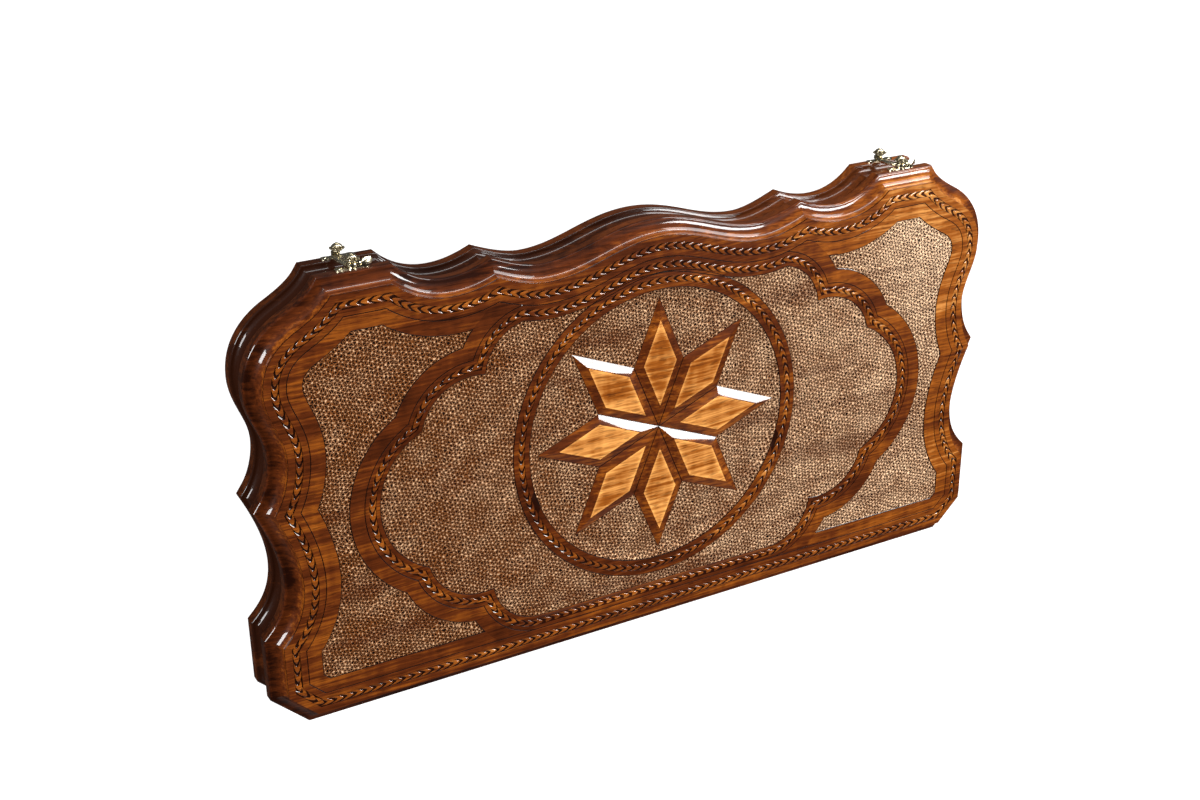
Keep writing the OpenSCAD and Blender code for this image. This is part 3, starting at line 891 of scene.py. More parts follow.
@dataclass
class Star:
    """Eight flat-topped rhombs with bevels, whose feet stand in a dished round ground."""

    tip_r: float = 98.8
    inner_r: float = 53.6
    bevel: float = 6.5
    height: float = 2.2
    arris: float = 0.7
    # The tops are painted lighter along their edges, a painted highlight on the rounded arrises,
    # and darker in their middles.
    edge_highlight_tone: float = 0.96
    middle_tone: float = 0.76
    fade_w: float = 4.0
    own_tones: tuple[float, ...] = (-0.05, -0.10, -0.07, -0.03, 0.05, 0.02, -0.02, -0.03)

    @property
    def turn(self) -> float:
        """Angle from ray to ray."""
        return 360 / len(self.own_tones)

    def rhombs(self) -> list[Path]:
        """Lay out the rhombs' feet.

        Returns:
            Middle, right corner, tip and left corner of each one.
        """
        made = []
        for k in range(len(self.own_tones)):
            tip = self.tip_r * heading(self.turn * k)
            right = self.inner_r * heading(self.turn * (k - 0.5))
            left = self.inner_r * heading(self.turn * (k + 0.5))
            made.append(np.array([np.zeros(2), right, tip, left]))
        return made

    def fall(self, margin: np.ndarray) -> np.ndarray:
        """Slope down from the tops, with rounded arrises.

        Args:
            margin: Distances in from the feet.

        Returns:
            Depths below the tops.
        """
        slope = self.height / self.bevel
        rounded = np.clip(self.bevel + self.arris - margin, 0, None) ** 2 / (4 * self.arris)
        straight = self.bevel - margin
        return slope * np.where(margin < self.bevel - self.arris, straight, rounded)

    def inset(self, rhomb: Path, by: float) -> Path:
        """Move a rhomb's edges in.

        Args:
            rhomb: Its corners.
            by: Distance.

        Returns:
            The new corners.
        """
        made = []
        for i in range(4):
            p, a, b = rhomb[i], rhomb[i - 1], rhomb[(i + 1) % 4]
            u, v = (a - p) / np.linalg.norm(a - p), (b - p) / np.linalg.norm(b - p)
            made.append(p + by * (u + v) / abs(u[0] * v[1] - u[1] * v[0]))
        return np.array(made)

    def margin(self, points: Path) -> np.ndarray:
        """How far inside its rhomb each point lies.

        Args:
            points: Points of the face.

        Returns:
            The distances; below zero between the rays.
        """
        x, y = points[:, 0], points[:, 1]
        best = np.full(len(points), -FAR)
        for rhomb in self.rhombs():
            least = np.full(len(points), FAR)
            for i in range(4):
                a, b = rhomb[i], rhomb[(i + 1) % 4]
                run = (b - a) / np.linalg.norm(b - a)
                least = np.minimum(least, run[0] * (y - a[1]) - run[1] * (x - a[0]))
            best = np.maximum(best, least)
        return best

    def shaded_tops(self, flat: Path, corners: np.ndarray, middles: Path,
                    tones: np.ndarray) -> None:
        """Paint a highlight along the edges of the tops, fading darker from their edges in, each
        with a tone of its own.

        Args:
            flat: Points of the face.
            corners: Point numbers of each triangle.
            middles: Middles of the triangles.
            tones: One tone for each corner of each triangle, changed here.
        """
        top = self.margin(middles) > self.bevel
        near = np.hypot(middles[:, 0], middles[:, 1]) < self.tip_r
        pick = top & near
        # Painted highlight: lightest at the tops' edges, fading to the middle tone.
        rise = np.clip((self.margin(flat) - self.bevel) / self.fade_w, 0, 1)
        faded = self.edge_highlight_tone - (self.edge_highlight_tone - self.middle_tone) * rise * (2 - rise)
        turn = np.degrees(np.arctan2(middles[:, 1], middles[:, 0]))
        ray = np.round(turn / self.turn).astype(int) % len(self.own_tones)
        own = np.array(self.own_tones)[ray][:, None]
        tones[pick] = faded[corners[pick]] + own[pick]


@dataclass(frozen=True)
class Tones:
    """How light the wood of the carved panel is, from 0 to 1, with painted shade in the grooves
    and the quirk.
    """

    plain: float = 0.50
    border: float = 0.46
    band: float = 0.40
    frame: float = 0.42
    # The grooves under the chains of scales are painted almost black: painted shade.
    groove: float = 0.04
    bevel: float = 0.45
    top: float = 0.78
    # The quirk at the face's edge is painted almost black: painted shade in the step.
    quirk: float = 0.08
    cove: tuple[float, float] = (0.58, 0.24)
    rim: float = 0.26
    back: float = 0.3


@dataclass
class Carving:
    """Height field of one carved face, with its lines, bands, grounds and grooves."""

    outline: Outline
    medallion: Medallion
    star: Star
    line: float = 0.45
    line_depth: float = 0.3
    wall: float = 0.3
    ground: float = 0.4
    groove: float = 0.75
    border: float = 15.0
    plain: float = 10.5
    braid: float = 11.0
    ring_r: float = 117.5
    ring_w: float = 12.5
    border_groove: tuple[float, float] = (4.9, 10.3)
    band_groove: tuple[float, float] = (3.0, 8.0)
    ring_groove: tuple[float, float] = (3.8, 8.6)
    foot_line: float = 0.5
    top_rings: tuple[float, ...] = (2.0, 4.0, 6.5)
    lobe_reach: tuple[float, float] = (4.0, 2.0)
    circle_points: int = 180
    tones: Tones = field(default_factory=Tones)

    @property
    def dish_r(self) -> float:
        """Radius of the star's dished ground."""
        return self.ring_r - self.ring_w

    @property
    def corner_edge(self) -> float:
        """How far in from the face's edge the corner grounds begin."""
        return self.border + self.plain

    def loops(self) -> list[tuple[Path, bool]]:
        """Lay out the paths that the face's mesh follows.

        Returns:
            The paths, each with True where it is closed.
        """
        line, wall, inner = self.line, self.wall, self.corner_edge
        lo, hi = self.border_groove
        made = [
            (self.outline.ring(d), True)
            for d in (0.0, lo, lo + wall, hi - wall, hi, self.border - line, self.border,
                      self.border + line, inner - line, inner, inner + wall)
        ]
        for level in (self.plain - wall, self.plain, self.plain + line):
            made += self._lobes(level, inner - self.lobe_reach[0])
        made += self._lobes(line, self.border - self.lobe_reach[1])
        lo, hi = self.band_groove
        for level in (0.0, line, lo, lo + wall, hi - wall, hi, self.braid - line, self.braid,
                      self.braid + wall):
            made.append((self.medallion.loop(-level), True))
        lo, hi = self.ring_groove
        ring, dish = self.ring_r, self.dish_r
        for radius in (ring + wall, ring, ring - line, ring - lo, ring - lo - wall,
                       ring - hi + wall, ring - hi, dish + line, dish, dish - wall,
                       self.star.tip_r):
            made.append((circle_path(radius, self.circle_points), True))
        for rhomb in self.star.rhombs():
            top, arris = self.star.bevel, self.star.arris
            for by in (0.0, self.foot_line, top - arris, top, top + arris,
                       *(top + inward for inward in self.top_rings)):
                made.append((self.star.inset(rhomb, by), True))
            tops = self.star.inset(rhomb, top)
            made += [(np.array([foot, corner]), False) for foot, corner in zip(rhomb, tops)]
        return made

    def _lobes(self, out: float, reach: float) -> list[tuple[Path, bool]]:
        """Lay out both sides of the lobes' edge, open where it nears the face's edge.

        Args:
            out: How far the edge is moved out.
            reach: How far in from the face's edge it stops.

        Returns:
            The two open paths, each with False.
        """
        right = self.medallion.chain(out)
        return [(path[self.outline.depth(path) > reach], False)
                for path in (right, right[::-1] * np.array([-1.0, 1.0]))]

    def _measured(self, points: Path) -> tuple[np.ndarray, ...]:
        """Measure where points lie in the pattern.

        Args:
            points: Points of the face.

        Returns:
            How far they lie in from the face's edge, out from the lobes, out from the
            medallion, from the star's middle, and in from the feet of the rhombs.
        """
        edge = self.outline.depth(points)
        lobes = self.medallion.distance(points)
        band = np.maximum(lobes, self.border - edge)
        radius = np.hypot(points[:, 0], points[:, 1])
        return edge, lobes, band, radius, self.star.margin(points)

    def shape(self, points: Path) -> tuple[np.ndarray, np.ndarray]:
        """Depth below the face and burn of each point.

        Args:
            points: Points of the face.

        Returns:
            Depths in millimetres, and burn from 0 to 1.
        """
        edge, lobes, band, radius, margin = self._measured(points)
        dish, inner = self.dish_r, self.corner_edge
        slack = 0.01

        def vee(value: np.ndarray, at: float) -> np.ndarray:
            """1 on a cut line and 0 beside it."""
            return np.clip(1 - np.abs(value - at) / self.line, 0, 1)

        def trough(value: np.ndarray, span: tuple[float, float]) -> np.ndarray:
            """1 on a groove's floor and 0 beside the groove."""
            return np.clip(np.minimum(value - span[0], span[1] - value) / self.wall, 0, 1)

        def ledge(value: np.ndarray, at: float) -> np.ndarray:
            """1 on a ground and 0 before it."""
            return np.clip((value - at) / self.wall, 0, 1)

        line = np.maximum.reduce([
            vee(edge, self.border),
            np.where(lobes > self.plain - slack, vee(edge, inner), 0),
            np.where(edge > inner - slack, vee(lobes, self.plain), 0),
            np.where(edge > self.border - slack, vee(lobes, 0.0), 0),
            vee(band, -self.braid),
            vee(radius, self.ring_r),
            vee(radius, dish),
        ])
        depth = line * self.line_depth
        depth = np.maximum(depth, self.groove * trough(edge, self.border_groove))
        depth = np.maximum(depth, self.groove * trough(-band, self.band_groove))
        depth = np.maximum(depth, self.groove * trough(self.ring_r - radius, self.ring_groove))
        corner = np.minimum(ledge(edge, inner), ledge(lobes, self.plain))
        middle = np.minimum(ledge(-band, self.braid), ledge(radius, self.ring_r))
        depth = np.maximum(depth, self.ground * np.maximum(corner, middle))
        slope = np.clip((dish - radius) / (dish - self.star.tip_r), 0, 1)
        bowl = self.ground + (self.star.height - self.ground) * slope
        star = np.where(margin > 0, self.star.fall(margin), bowl)
        depth = np.where(radius < dish - slack, star, depth)
        foot = np.clip(1 - np.abs(margin) / self.foot_line, 0, 1)
        near = radius < self.star.tip_r + 0.1
        return depth, np.maximum(line, np.where(near, foot, 0))

    def regions(self, points: Path) -> tuple[np.ndarray, np.ndarray]:
        """Ground and tone of faces with these middles.

        Args:
            points: Middles of the faces.

        Returns:
            1 on punched grounds, else 0; and the wood's tone from 0 to 1.
        """
        edge, lobes, band, radius, margin = self._measured(points)
        dished = radius < self.dish_r
        corner = (edge > self.corner_edge) & (lobes > self.plain)
        middle = (band < -self.braid) & (radius > self.ring_r)
        bowl = dished & (margin < 0)
        tone = np.full(len(points), self.tones.plain)
        tone[edge < self.border] = self.tones.border
        tone[(band < 0) & (band > -self.braid)] = self.tones.band
        tone[(radius < self.ring_r) & (radius > self.dish_r)] = self.tones.band
        tone[(lobes > 0) & (lobes < self.plain) & (edge > self.border)] = self.tones.frame
        # Painted shade: the grooves under the chains take the near-black groove tone.
        for value, span in ((edge, self.border_groove), (-band, self.band_groove),
                            (self.ring_r - radius, self.ring_groove)):
            tone[(value > span[0]) & (value < span[1])] = self.tones.groove
        tone[(margin > 0) & dished] = self.tones.bevel
        tone[(margin > self.star.bevel) & dished] = self.tones.top
        return (corner | middle | bowl).astype(float), tone


# ---------------------------------------------------------------- meshes


class Placement:
    """Puts shapes drawn on the lower half's own axes where each half lies."""

    total_h: float = 55.0
    shift_y: float = -0.35

    def __init__(self, half: Half) -> None:
        """Keep which half it is for."""
        self.half = half

    def points(self, places: np.ndarray) -> np.ndarray:
        """Put points on the half.

        Args:
            places: X, y and height above the carved face, in millimetres.

        Returns:
            Places in metres.
        """
        moved = np.array(places, dtype=float)
        moved[:, 1] += self.shift_y
        if self.half is Half.LID:
            moved[:, 2] = self.total_h - moved[:, 2]
        return moved * MM

    def faces(self, faces: Iterable[Sequence[int]]) -> list[tuple[int, ...]]:
        """Faces drawn outwards on the lower half, turned over for the upper one."""
        step = -1 if self.half is Half.LID else 1
        return [tuple(f)[::step] for f in faces]


def linked(name: str, data: bpy.types.ID) -> bpy.types.Object:
    """Make an object at the origin and link it.

    Args:
        name: The object's name.
        data: Its mesh, curve, lamp or camera.

    Returns:
        The object.
    """
    made = bpy.data.objects.new(name, data)
    bpy.context.scene.collection.objects.link(made)
    return made


def from_work(work: bmesh.types.BMesh, name: str) -> bpy.types.Object:
    """Turn a worked mesh, which is freed, into an object.

    Args:
        work: The worked mesh.
        name: The object's name.

    Returns:
        The object.
    """
    mesh = bpy.data.meshes.new(name)
    work.to_mesh(mesh)
    work.free()
    return linked(name, mesh)


def new_piece(name: str, points: np.ndarray, faces: Sequence[Sequence[int]]) -> bpy.types.Object:
    """Make an object from points and faces.

    Args:
        name: The object's name.
        points: Points in metres.
        faces: Faces by point number.

    Returns:
        The linked object.
    """
    mesh = bpy.data.meshes.new(name)
    mesh.from_pydata([tuple(p) for p in points], [], [tuple(f) for f in faces])
    mesh.validate()
    return linked(name, mesh)


def weld(mesh: bpy.types.Mesh) -> None:
    """Merge the points of a mesh that lie on each other.

    Args:
        mesh: The mesh, changed here.
    """
    work = bmesh.new()
    work.from_mesh(mesh)
    bmesh.ops.remove_doubles(work, verts=work.verts, dist=1e-6)
    bmesh.ops.dissolve_degenerate(work, edges=work.edges, dist=1e-7)
    work.to_mesh(mesh)
    work.free()


def shaded(piece: bpy.types.Object, degrees: float) -> None:
    """Smooth shading with edges above an angle kept sharp."""
    piece.data.shade_smooth()
    piece.data.set_sharp_from_angle(angle=math.radians(degrees))


def put_values(mesh: bpy.types.Mesh, name: str, domain: Domain, values: Sequence[float]) -> None:
    """Write a number attribute."""
    layer = mesh.attributes.new(name, "FLOAT", domain.value)
    layer.data.foreach_set("value", np.asarray(values, float))


def evaluated(piece: bpy.types.Object, name: str) -> bpy.types.Object:
    """A piece's evaluated shape as a plain mesh object, with the piece removed.

    Args:
        piece: Object with modifiers.
        name: Name of the plain object.

    Returns:
        The plain object.
    """
    bpy.context.view_layer.update()
    graph = bpy.context.evaluated_depsgraph_get()
    mesh = bpy.data.meshes.new_from_object(piece.evaluated_get(graph))
    mesh.name = name
    plain = linked(name, mesh)
    bpy.data.objects.remove(piece)
    return plain


def quarter(centre: tuple[float, float], radius: float, start: float,
            steps: int = 5) -> list[tuple[float, float]]:
    """Points on a quarter circle, from an angle in degrees on."""
    return [(centre[0] + radius * math.cos(math.radians(a)),
             centre[1] + radius * math.sin(math.radians(a)))
            for a in np.linspace(start, start + 90, steps + 1)]


@dataclass(frozen=True)
class Grid:
    """Numbering of a sheet of points in rows, each row from left to right."""

    rows: int
    columns: int

    def cells(self) -> list[tuple[float, float]]:
        """Share of the length, and place from -1 to 1 across, of each point."""
        return [(r / self.rows, -1 + 2 * c / self.columns)
                for r in range(self.rows + 1) for c in range(self.columns + 1)]

    def number(self, row: int, column: int) -> int:
        """A point's number."""
        return row * (self.columns + 1) + column

    def quads(self) -> list[tuple[int, int, int, int]]:
        """Faces between the points."""
        wide = self.columns + 1
        return [(a, a + wide, a + wide + 1, a + 1)
                for r in range(self.rows) for a in range(r * wide, r * wide + self.columns)]

    def rim(self) -> list[int]:
        """Numbers of the points round the sheet, in order."""
        rows, columns = self.rows, self.columns
        return ([self.number(0, c) for c in range(columns + 1)]
                + [self.number(r, columns) for r in range(1, rows + 1)]
                + [self.number(rows, c) for c in range(columns - 1, -1, -1)]
                + [self.number(r, 0) for r in range(rows - 1, 0, -1)])


@dataclass
class CarvedFace:
    """One half's carved panel: pattern, moulded edge and flat back."""

    half: Half
    outline: Outline
    carving: Carving
    mould_w: float = 10.0
    quirk: float = 1.2
    rim_start: float = 11.0
    rim_round: float = 1.5
    panel_t: float = 12.0
    cove_steps: int = 14
    round_steps: int = 5
    back_middle_y: float = -90.0
    least_burn: float = 0.03

    def profile(self) -> list[tuple[float, float]]:
        """Draw the moulding.

        Returns:
            Outward reach and depth, from the face's edge to the panel's back.
        """
        out, low = self.mould_w - self.rim_round, self.rim_start - self.rim_round
        cove = [
            (out * (1 - math.cos(a)), self.quirk + (low - self.quirk) * math.sin(a))
            for a in np.linspace(0, math.pi / 2, self.cove_steps + 1)
        ]
        turn = quarter((out, self.rim_start), self.rim_round, -90, self.round_steps)
        return [(0.0, 0.0), *cove, *turn[1:], (self.mould_w, self.panel_t)]

    def build(self, finish: bpy.types.Material) -> bpy.types.Object:
        """Make the panel.

        Args:
            finish: Its material.

        Returns:
            The panel, riding on its half.
        """
        flat, faces = self._face()
        depth, burn = self.carving.shape(flat)
        corners = np.array(faces)[:, ::-1]
        middles = flat[corners].mean(axis=1)
        cut = self.carving.shape(middles)[1][:, None] > self.least_burn
        burns = np.where(cut, burn[corners], 0.0)
        ground, tone = self.carving.regions(middles)
        tones = np.repeat(tone[:, None], 3, axis=1)
        self.carving.star.shaded_tops(flat, corners, middles, tones)
        if self.half is Half.LID:
            burns, tones = burns[:, ::-1], tones[:, ::-1]

        sides, rings, side_tone = self._moulding()
        start = len(flat)
        back = start + len(rings)
        points = np.vstack([np.column_stack([flat, depth]), rings,
                            [[0.0, self.back_middle_y, self.panel_t]]])
        count = len(self.outline.ring(0.0))
        last = back - count
        fan = [(back, last + (i + 1) % count, last + i) for i in range(count)]
        every = [tuple(reversed(f)) for f in faces]
        every += [tuple(start + i for i in f) for f in sides] + fan
        place, name = Placement(self.half), f"{self.half.value}_carved_panel"
        piece = new_piece(name, place.points(points), place.faces(every))
        mesh = piece.data
        back_tones = [self.carving.tones.back] * 3 * len(fan)
        put_values(mesh, "burn", Domain.CORNER,
                   [*burns.ravel(), *[0.0] * (4 * len(sides) + 3 * len(fan))])
        put_values(mesh, "ground", Domain.FACE, [*ground, *[0.0] * (len(sides) + len(fan))])
        put_values(mesh, "tone", Domain.CORNER,
                   [*tones.ravel(), *np.repeat(side_tone, 4), *back_tones])
        weld(mesh)
        mesh.materials.append(finish)
        shaded(piece, 12)
        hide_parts(f"{self.half.value}_panel")
        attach(piece, self.half.value)
        return piece

    def _face(self) -> tuple[Path, list[tuple[int, int, int]]]:
        """Fill the flat pattern.

        Returns:
            Its points and triangles, counter-clockwise.
        """
        points: list[tuple[float, float]] = []
        edges: list[tuple[int, int]] = []
        for path, closed in self.carving.loops():
            start = len(points)
            points += [tuple(p) for p in path]
            edges += [(start + i, start + i + 1) for i in range(len(path) - 1)]
            if closed:
                edges.append((len(points) - 1, start))
        verts, _, faces, *_ = delaunay_2d_cdt(
            [Vector(p) for p in points], edges, [], 0, 1e-4, False)
        flat = np.array([tuple(v) for v in verts])
        middles = flat[np.array(faces)].mean(axis=1)
        keep = inside(middles, self.outline.ring(0.0))
        kept = []
        for f, good in zip(faces, keep):
            if good:
                a, b, c = (flat[i] for i in f)
                turn = (b[0] - a[0]) * (c[1] - a[1]) - (b[1] - a[1]) * (c[0] - a[0])
                kept.append(tuple(f) if turn > 0 else tuple(reversed(f)))
        return flat, kept

    def _moulding(self) -> tuple[list[tuple[int, ...]], np.ndarray, list[float]]:
        """Run the moulding round the panel, from the face's edge to the back.

        Returns:
            Side faces, their points and their tones.
        """
        rings = [
            np.column_stack([ring, np.full(len(ring), depth)])
            for out, depth in self.profile()
            for ring in [self.outline.ring(-out)]
        ]
        count = len(rings[0])
        faces, tones = [], []
        own = self.carving.tones
        for j in range(len(rings) - 1):
            share = j / self.cove_steps
            cove = own.cove[0] + (own.cove[1] - own.cove[0]) * share
            # The quirk's faces take painted shade.
            tone = own.quirk if j == 0 else cove if share <= 1 else own.rim
            for i in range(count):
                a, b = j * count + i, j * count + (i + 1) % count
                faces.append((a, b, b + count, a + count))
                tones.append(tone)
        return faces, np.vstack(rings), tones


@dataclass
class RimWood:
    """The rails and cheeks of one half, behind its carved panel."""

    half: Half
    outline: Outline
    tray_half_w: float = 265.0
    tray_top: float = 116.0
    tray_bottom: float = -139.0
    half_h: float = 27.3
    panel_t: float = 12.0
    mould_w: float = 10.0
    rim_end: float = 19.0
    rim_round: float = 1.5
    setback: float = 6.0
    leaf_edge_y: float = -141.0
    leaf_t: float = 1.5
    hinge_x: float = 180.0
    hinge_len: float = 50.0
    cove_steps: int = 10
    latch_edge_from_y: float = 100.0
    side_edge_from_x: float = 249.0
    rail_overlap: float = 6.0
    cheek_wall: float = 1.0
    cheek_gap: float = 0.03
    outer_tone: float = 0.36
    # The hollow between the halves takes a darker tone: painted shade.
    hollow_shade_tone: float = 0.20

    def profile(self) -> list[tuple[float, float]]:
        """Draw the rim band and the hollow between the halves.

        Returns:
            Outward reach and depth, from the panel's back to the plane where the halves meet.
        """
        out = self.mould_w - self.rim_round
        turn = quarter((out, self.rim_end - self.rim_round), self.rim_round, 0)
        cove = [
            (out - (self.setback - self.rim_round) * math.sin(a),
             self.half_h - (self.half_h - self.rim_end) * math.cos(a))
            for a in np.linspace(0, math.pi / 2, self.cove_steps + 1)
        ]
        return [(self.mould_w, self.panel_t), *turn, *cove[1:]]

    def build(self, finish: bpy.types.Material) -> list[bpy.types.Object]:
        """Make the latch rail, the hinge rail and both cheeks.

        Args:
            finish: Their material.

        Returns:
            The four pieces, riding on their half.
        """
        w = self.tray_half_w
        x, y = self.outline.ring(0.0).T
        top = np.flatnonzero((y > self.latch_edge_from_y) & (np.abs(x) < w + self.rail_overlap))
        order = np.argsort(-x[top])
        rail = self._stretch(top[order], lambda p: (p[0], self.tray_top))
        side = np.flatnonzero(x > self.side_edge_from_x)
        lowest = int(np.argmin(y[side] * 10 + x[side]))
        cheek = self._stretch(np.roll(side, -lowest), lambda p: (w - self.cheek_wall, p[1]))
        seat = [(w - self.cheek_gap, -1)]
        return [
            self._piece("latch_rail", rail, [(w, 1), (-w, -1)], finish),
            self._piece("right_cheek", cheek, seat, finish),
            self._piece("left_cheek", cheek, seat, finish, flip=True),
            self._hinge_rail(finish),
        ]

    def _stretch(self, picks: np.ndarray, wall: Callable[[np.ndarray], Sequence[float]]
                 ) -> tuple[np.ndarray, list[tuple[int, ...]]]:
        """Sections along a stretch of the outline, each closed by the tray's wall.

        Args:
            picks: Point numbers of the stretch, in order.
            wall: Gives the place on the tray's wall across from a point.

        Returns:
            Points and side faces, open at both ends.
        """
        profile = self.profile()
        rings = [self.outline.ring(-out)[picks] for out, _ in profile]
        rows = [np.column_stack([r, np.full(len(r), h)]) for r, (_, h) in zip(rings, profile)]
        for ring, height in ((rings[-1], self.half_h), (rings[0], self.panel_t)):
            inner = np.array([wall(p) for p in ring], dtype=float)
            rows.append(np.column_stack([inner, np.full(len(inner), height)]))
        count = len(picks)
        faces = []
        for j in range(len(rows)):
            here, there = j * count, (j + 1) % len(rows) * count
            faces += [(here + i, here + i + 1, there + i + 1, there + i) for i in range(count - 1)]
        return np.vstack(rows), faces

    def _piece(self, part: str, shape: tuple[np.ndarray, list[tuple[int, ...]]],
               cuts: list[tuple[float, int]], finish: bpy.types.Material,
               flip: bool = False) -> bpy.types.Object:
        """Make one rail or cheek, cut off square where its neighbours begin.

        Args:
            part: What it is called in its half.
            shape: Points and side faces.
            cuts: X of each cut, with the sign of the side that goes.
            finish: Its material.
            flip: True to mirror it to the left.

        Returns:
            The piece, riding on its half.
        """
        points, faces = shape
        work = bmesh.new()
        verts = [work.verts.new(p) for p in points]
        for f in faces:
            corners = []
            for i in f:
                if all((verts[i].co - c.co).length > 1e-4 for c in corners):
                    corners.append(verts[i])
            if len(corners) > 2:
                try:
                    work.faces.new(corners)
                except ValueError:
                    continue
        bmesh.ops.remove_doubles(work, verts=work.verts, dist=1e-4)
        for x, away in cuts:
            bmesh.ops.bisect_plane(
                work, geom=[*work.verts, *work.edges, *work.faces], dist=1e-4,
                plane_co=(x, 0, 0), plane_no=(away, 0, 0), clear_outer=True)
            rim = [e for e in work.edges if e.is_boundary
                   and all(abs(v.co.x - x) < 1e-3 for v in e.verts)]
            bmesh.ops.holes_fill(work, edges=rim, sides=0)
        if flip:
            for v in work.verts:
                v.co.x = -v.co.x
        place = Placement(self.half)
        for v in work.verts:
            v.co = Vector(place.points(np.array([v.co]))[0])
        bmesh.ops.recalc_face_normals(work, faces=work.faces)
        node = f"{self.half.value}_{part}"
        return self._dressed(from_work(work, f"{node}_wood"), node, finish)

    def _dressed(self, piece: bpy.types.Object, node: str,
                 finish: bpy.types.Material) -> bpy.types.Object:
        """Dress a piece of the rim.

        Args:
            piece: The piece.
            node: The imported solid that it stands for.
            finish: Its material.

        Returns:
            The piece, riding on its half.
        """
        put_values(piece.data, "tone", Domain.FACE, self._tones(piece.data))
        piece.data.materials.append(finish)
        shaded(piece, 30)
        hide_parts(node)
        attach(piece, self.half.value)
        return piece

    def _tones(self, mesh: bpy.types.Mesh) -> list[float]:
        """Paint shade into the hollow between the halves with a darker tone.

        Args:
            mesh: The piece's mesh.

        Returns:
            The tone of each face.
        """
        made = []
        for face in mesh.polygons:
            height = face.center.z / MM
            depth = Placement.total_h - height if self.half is Half.LID else height
            made.append(self.outer_tone if depth < self.rim_end - 1 else self.hollow_shade_tone)
        return made

    def _hinge_rail(self, finish: bpy.types.Material) -> bpy.types.Object:
        """Make the straight rail with a pocket for each hinge leaf.

        Args:
            finish: Its material.

        Returns:
            The piece, riding on its half.
        """
        section = [(-self.outline.bottom - out, depth) for out, depth in self.profile()]
        section += [(self.tray_bottom, self.half_h), (self.tray_bottom, self.panel_t)]
        bar = self._extruded("bar", section, 0.0, 2 * self.tray_half_w)
        behind, low, above = -self.outline.bottom - 30, self.half_h - self.leaf_t, self.half_h + 5
        pocket = [(behind, low), (self.leaf_edge_y, low), (self.leaf_edge_y, above),
                  (behind, above)]
        cutters = [self._extruded("pocket", pocket, side * self.hinge_x, self.hinge_len)
                   for side in SIDES.values()]
        for cutter in cutters:
            cut = bar.modifiers.new("pocket", "BOOLEAN")
            cut.object, cut.operation, cut.solver = cutter, "DIFFERENCE", "EXACT"
        node = f"{self.half.value}_hinge_rail"
        piece = evaluated(bar, f"{node}_wood")
        for cutter in cutters:
            bpy.data.objects.remove(cutter)
        return self._dressed(piece, node, finish)

    def _extruded(self, name: str, section: list[tuple[float, float]], middle: float,
                  length: float) -> bpy.types.Object:
        """Make a closed bar along the board.

        Args:
            name: The object's name.
            section: Y and height of its corners.
            middle: X of its middle.
            length: Its length.

        Returns:
            The bar, placed on the half.
        """
        count = len(section)
        ends = (middle - length / 2, middle + length / 2)
        points = np.array([(x, y, z) for x in ends for y, z in section])
        faces = [(i, (i + 1) % count, count + (i + 1) % count, count + i) for i in range(count)]
        faces += [tuple(range(count)), tuple(range(2 * count - 1, count - 1, -1))]
        piece = new_piece(name, Placement(self.half).points(points), faces)
        work = bmesh.new()
        work.from_mesh(piece.data)
        bmesh.ops.recalc_face_normals(work, faces=work.faces)
        work.to_mesh(piece.data)
        work.free()
        return piece


# ---------------------------------------------------------------- chains of scales


class Stringer:
    """Geometry Nodes tree that strings copies of one small mesh along a closed path."""

    def __init__(self) -> None:
        """Build the tree, with inputs for the bead, the pitch and the finish."""
        tree = bpy.data.node_groups.new("strung_beads", "GeometryNodeTree")
        for name, way, kind in (
            ("Path", "INPUT", "Geometry"), ("Bead", "INPUT", "Object"),
            ("Pitch", "INPUT", "Float"), ("Finish", "INPUT", "Material"),
            ("Chain", "OUTPUT", "Geometry"),
        ):
            tree.interface.new_socket(name, in_out=way, socket_type=f"NodeSocket{kind}")
        given, result, spaced, bead, tangent, turn, strung, real, dressed = (
            tree.nodes.new(kind) for kind in (
                "NodeGroupInput", "NodeGroupOutput", "GeometryNodeResampleCurve",
                "GeometryNodeObjectInfo", "GeometryNodeInputTangent",
                "FunctionNodeAlignRotationToVector", "GeometryNodeInstanceOnPoints",
                "GeometryNodeRealizeInstances", "GeometryNodeSetMaterial")
        )
        spaced.mode = "LENGTH"
        turn.axis, turn.pivot_axis = "X", "Z"
        for start, leaving, end, arriving in (
            (given, "Path", spaced, "Curve"),
            (given, "Pitch", spaced, "Length"),
            (given, "Bead", bead, "Object"),
            (tangent, "Tangent", turn, "Vector"),
            (spaced, "Curve", strung, "Points"),
            (bead, "Geometry", strung, "Instance"),
            (turn, "Rotation", strung, "Rotation"),
            (strung, "Instances", real, "Geometry"),
            (real, "Geometry", dressed, "Geometry"),
            (given, "Finish", dressed, "Material"),
            (dressed, "Geometry", result, "Chain"),
        ):
            tree.links.new(start.outputs[leaving], end.inputs[arriving])
        self.tree = tree

    def string(self, path: Path, pitch: float, bead: bpy.types.Object,
               finish: bpy.types.Material) -> bpy.types.Object:
        """String beads along one closed path in the plane z = 0.

        Args:
            path: Closed path in millimetres.
            pitch: Wanted distance of the beads in millimetres.
            bead: The bead, whose path runs along X.
            finish: Its material.

        Returns:
            The chain as an object in metres.
        """
        length = path_length(path)
        step = length / round(length / pitch)
        curve = bpy.data.curves.new("chain_path", "CURVE")
        curve.dimensions = "3D"
        spline = curve.splines.new("POLY")
        spline.points.add(len(path) - 1)
        for point, (x, y) in zip(spline.points, path):
            point.co = (x * MM, y * MM, 0.0, 1.0)
        spline.use_cyclic_u = True
        line = linked("chain_path", curve)
        modifier = line.modifiers.new("chain", "NODES")
        modifier.node_group = self.tree
        just_under = 0.9999
        values = {"Bead": bead, "Pitch": step * MM * just_under, "Finish": finish}
        for item in self.tree.interface.items_tree:
            if item.item_type == "SOCKET" and item.in_out == "INPUT" and item.name in values:
                modifier[item.identifier] = values[item.name]
        return evaluated(line, "chain")


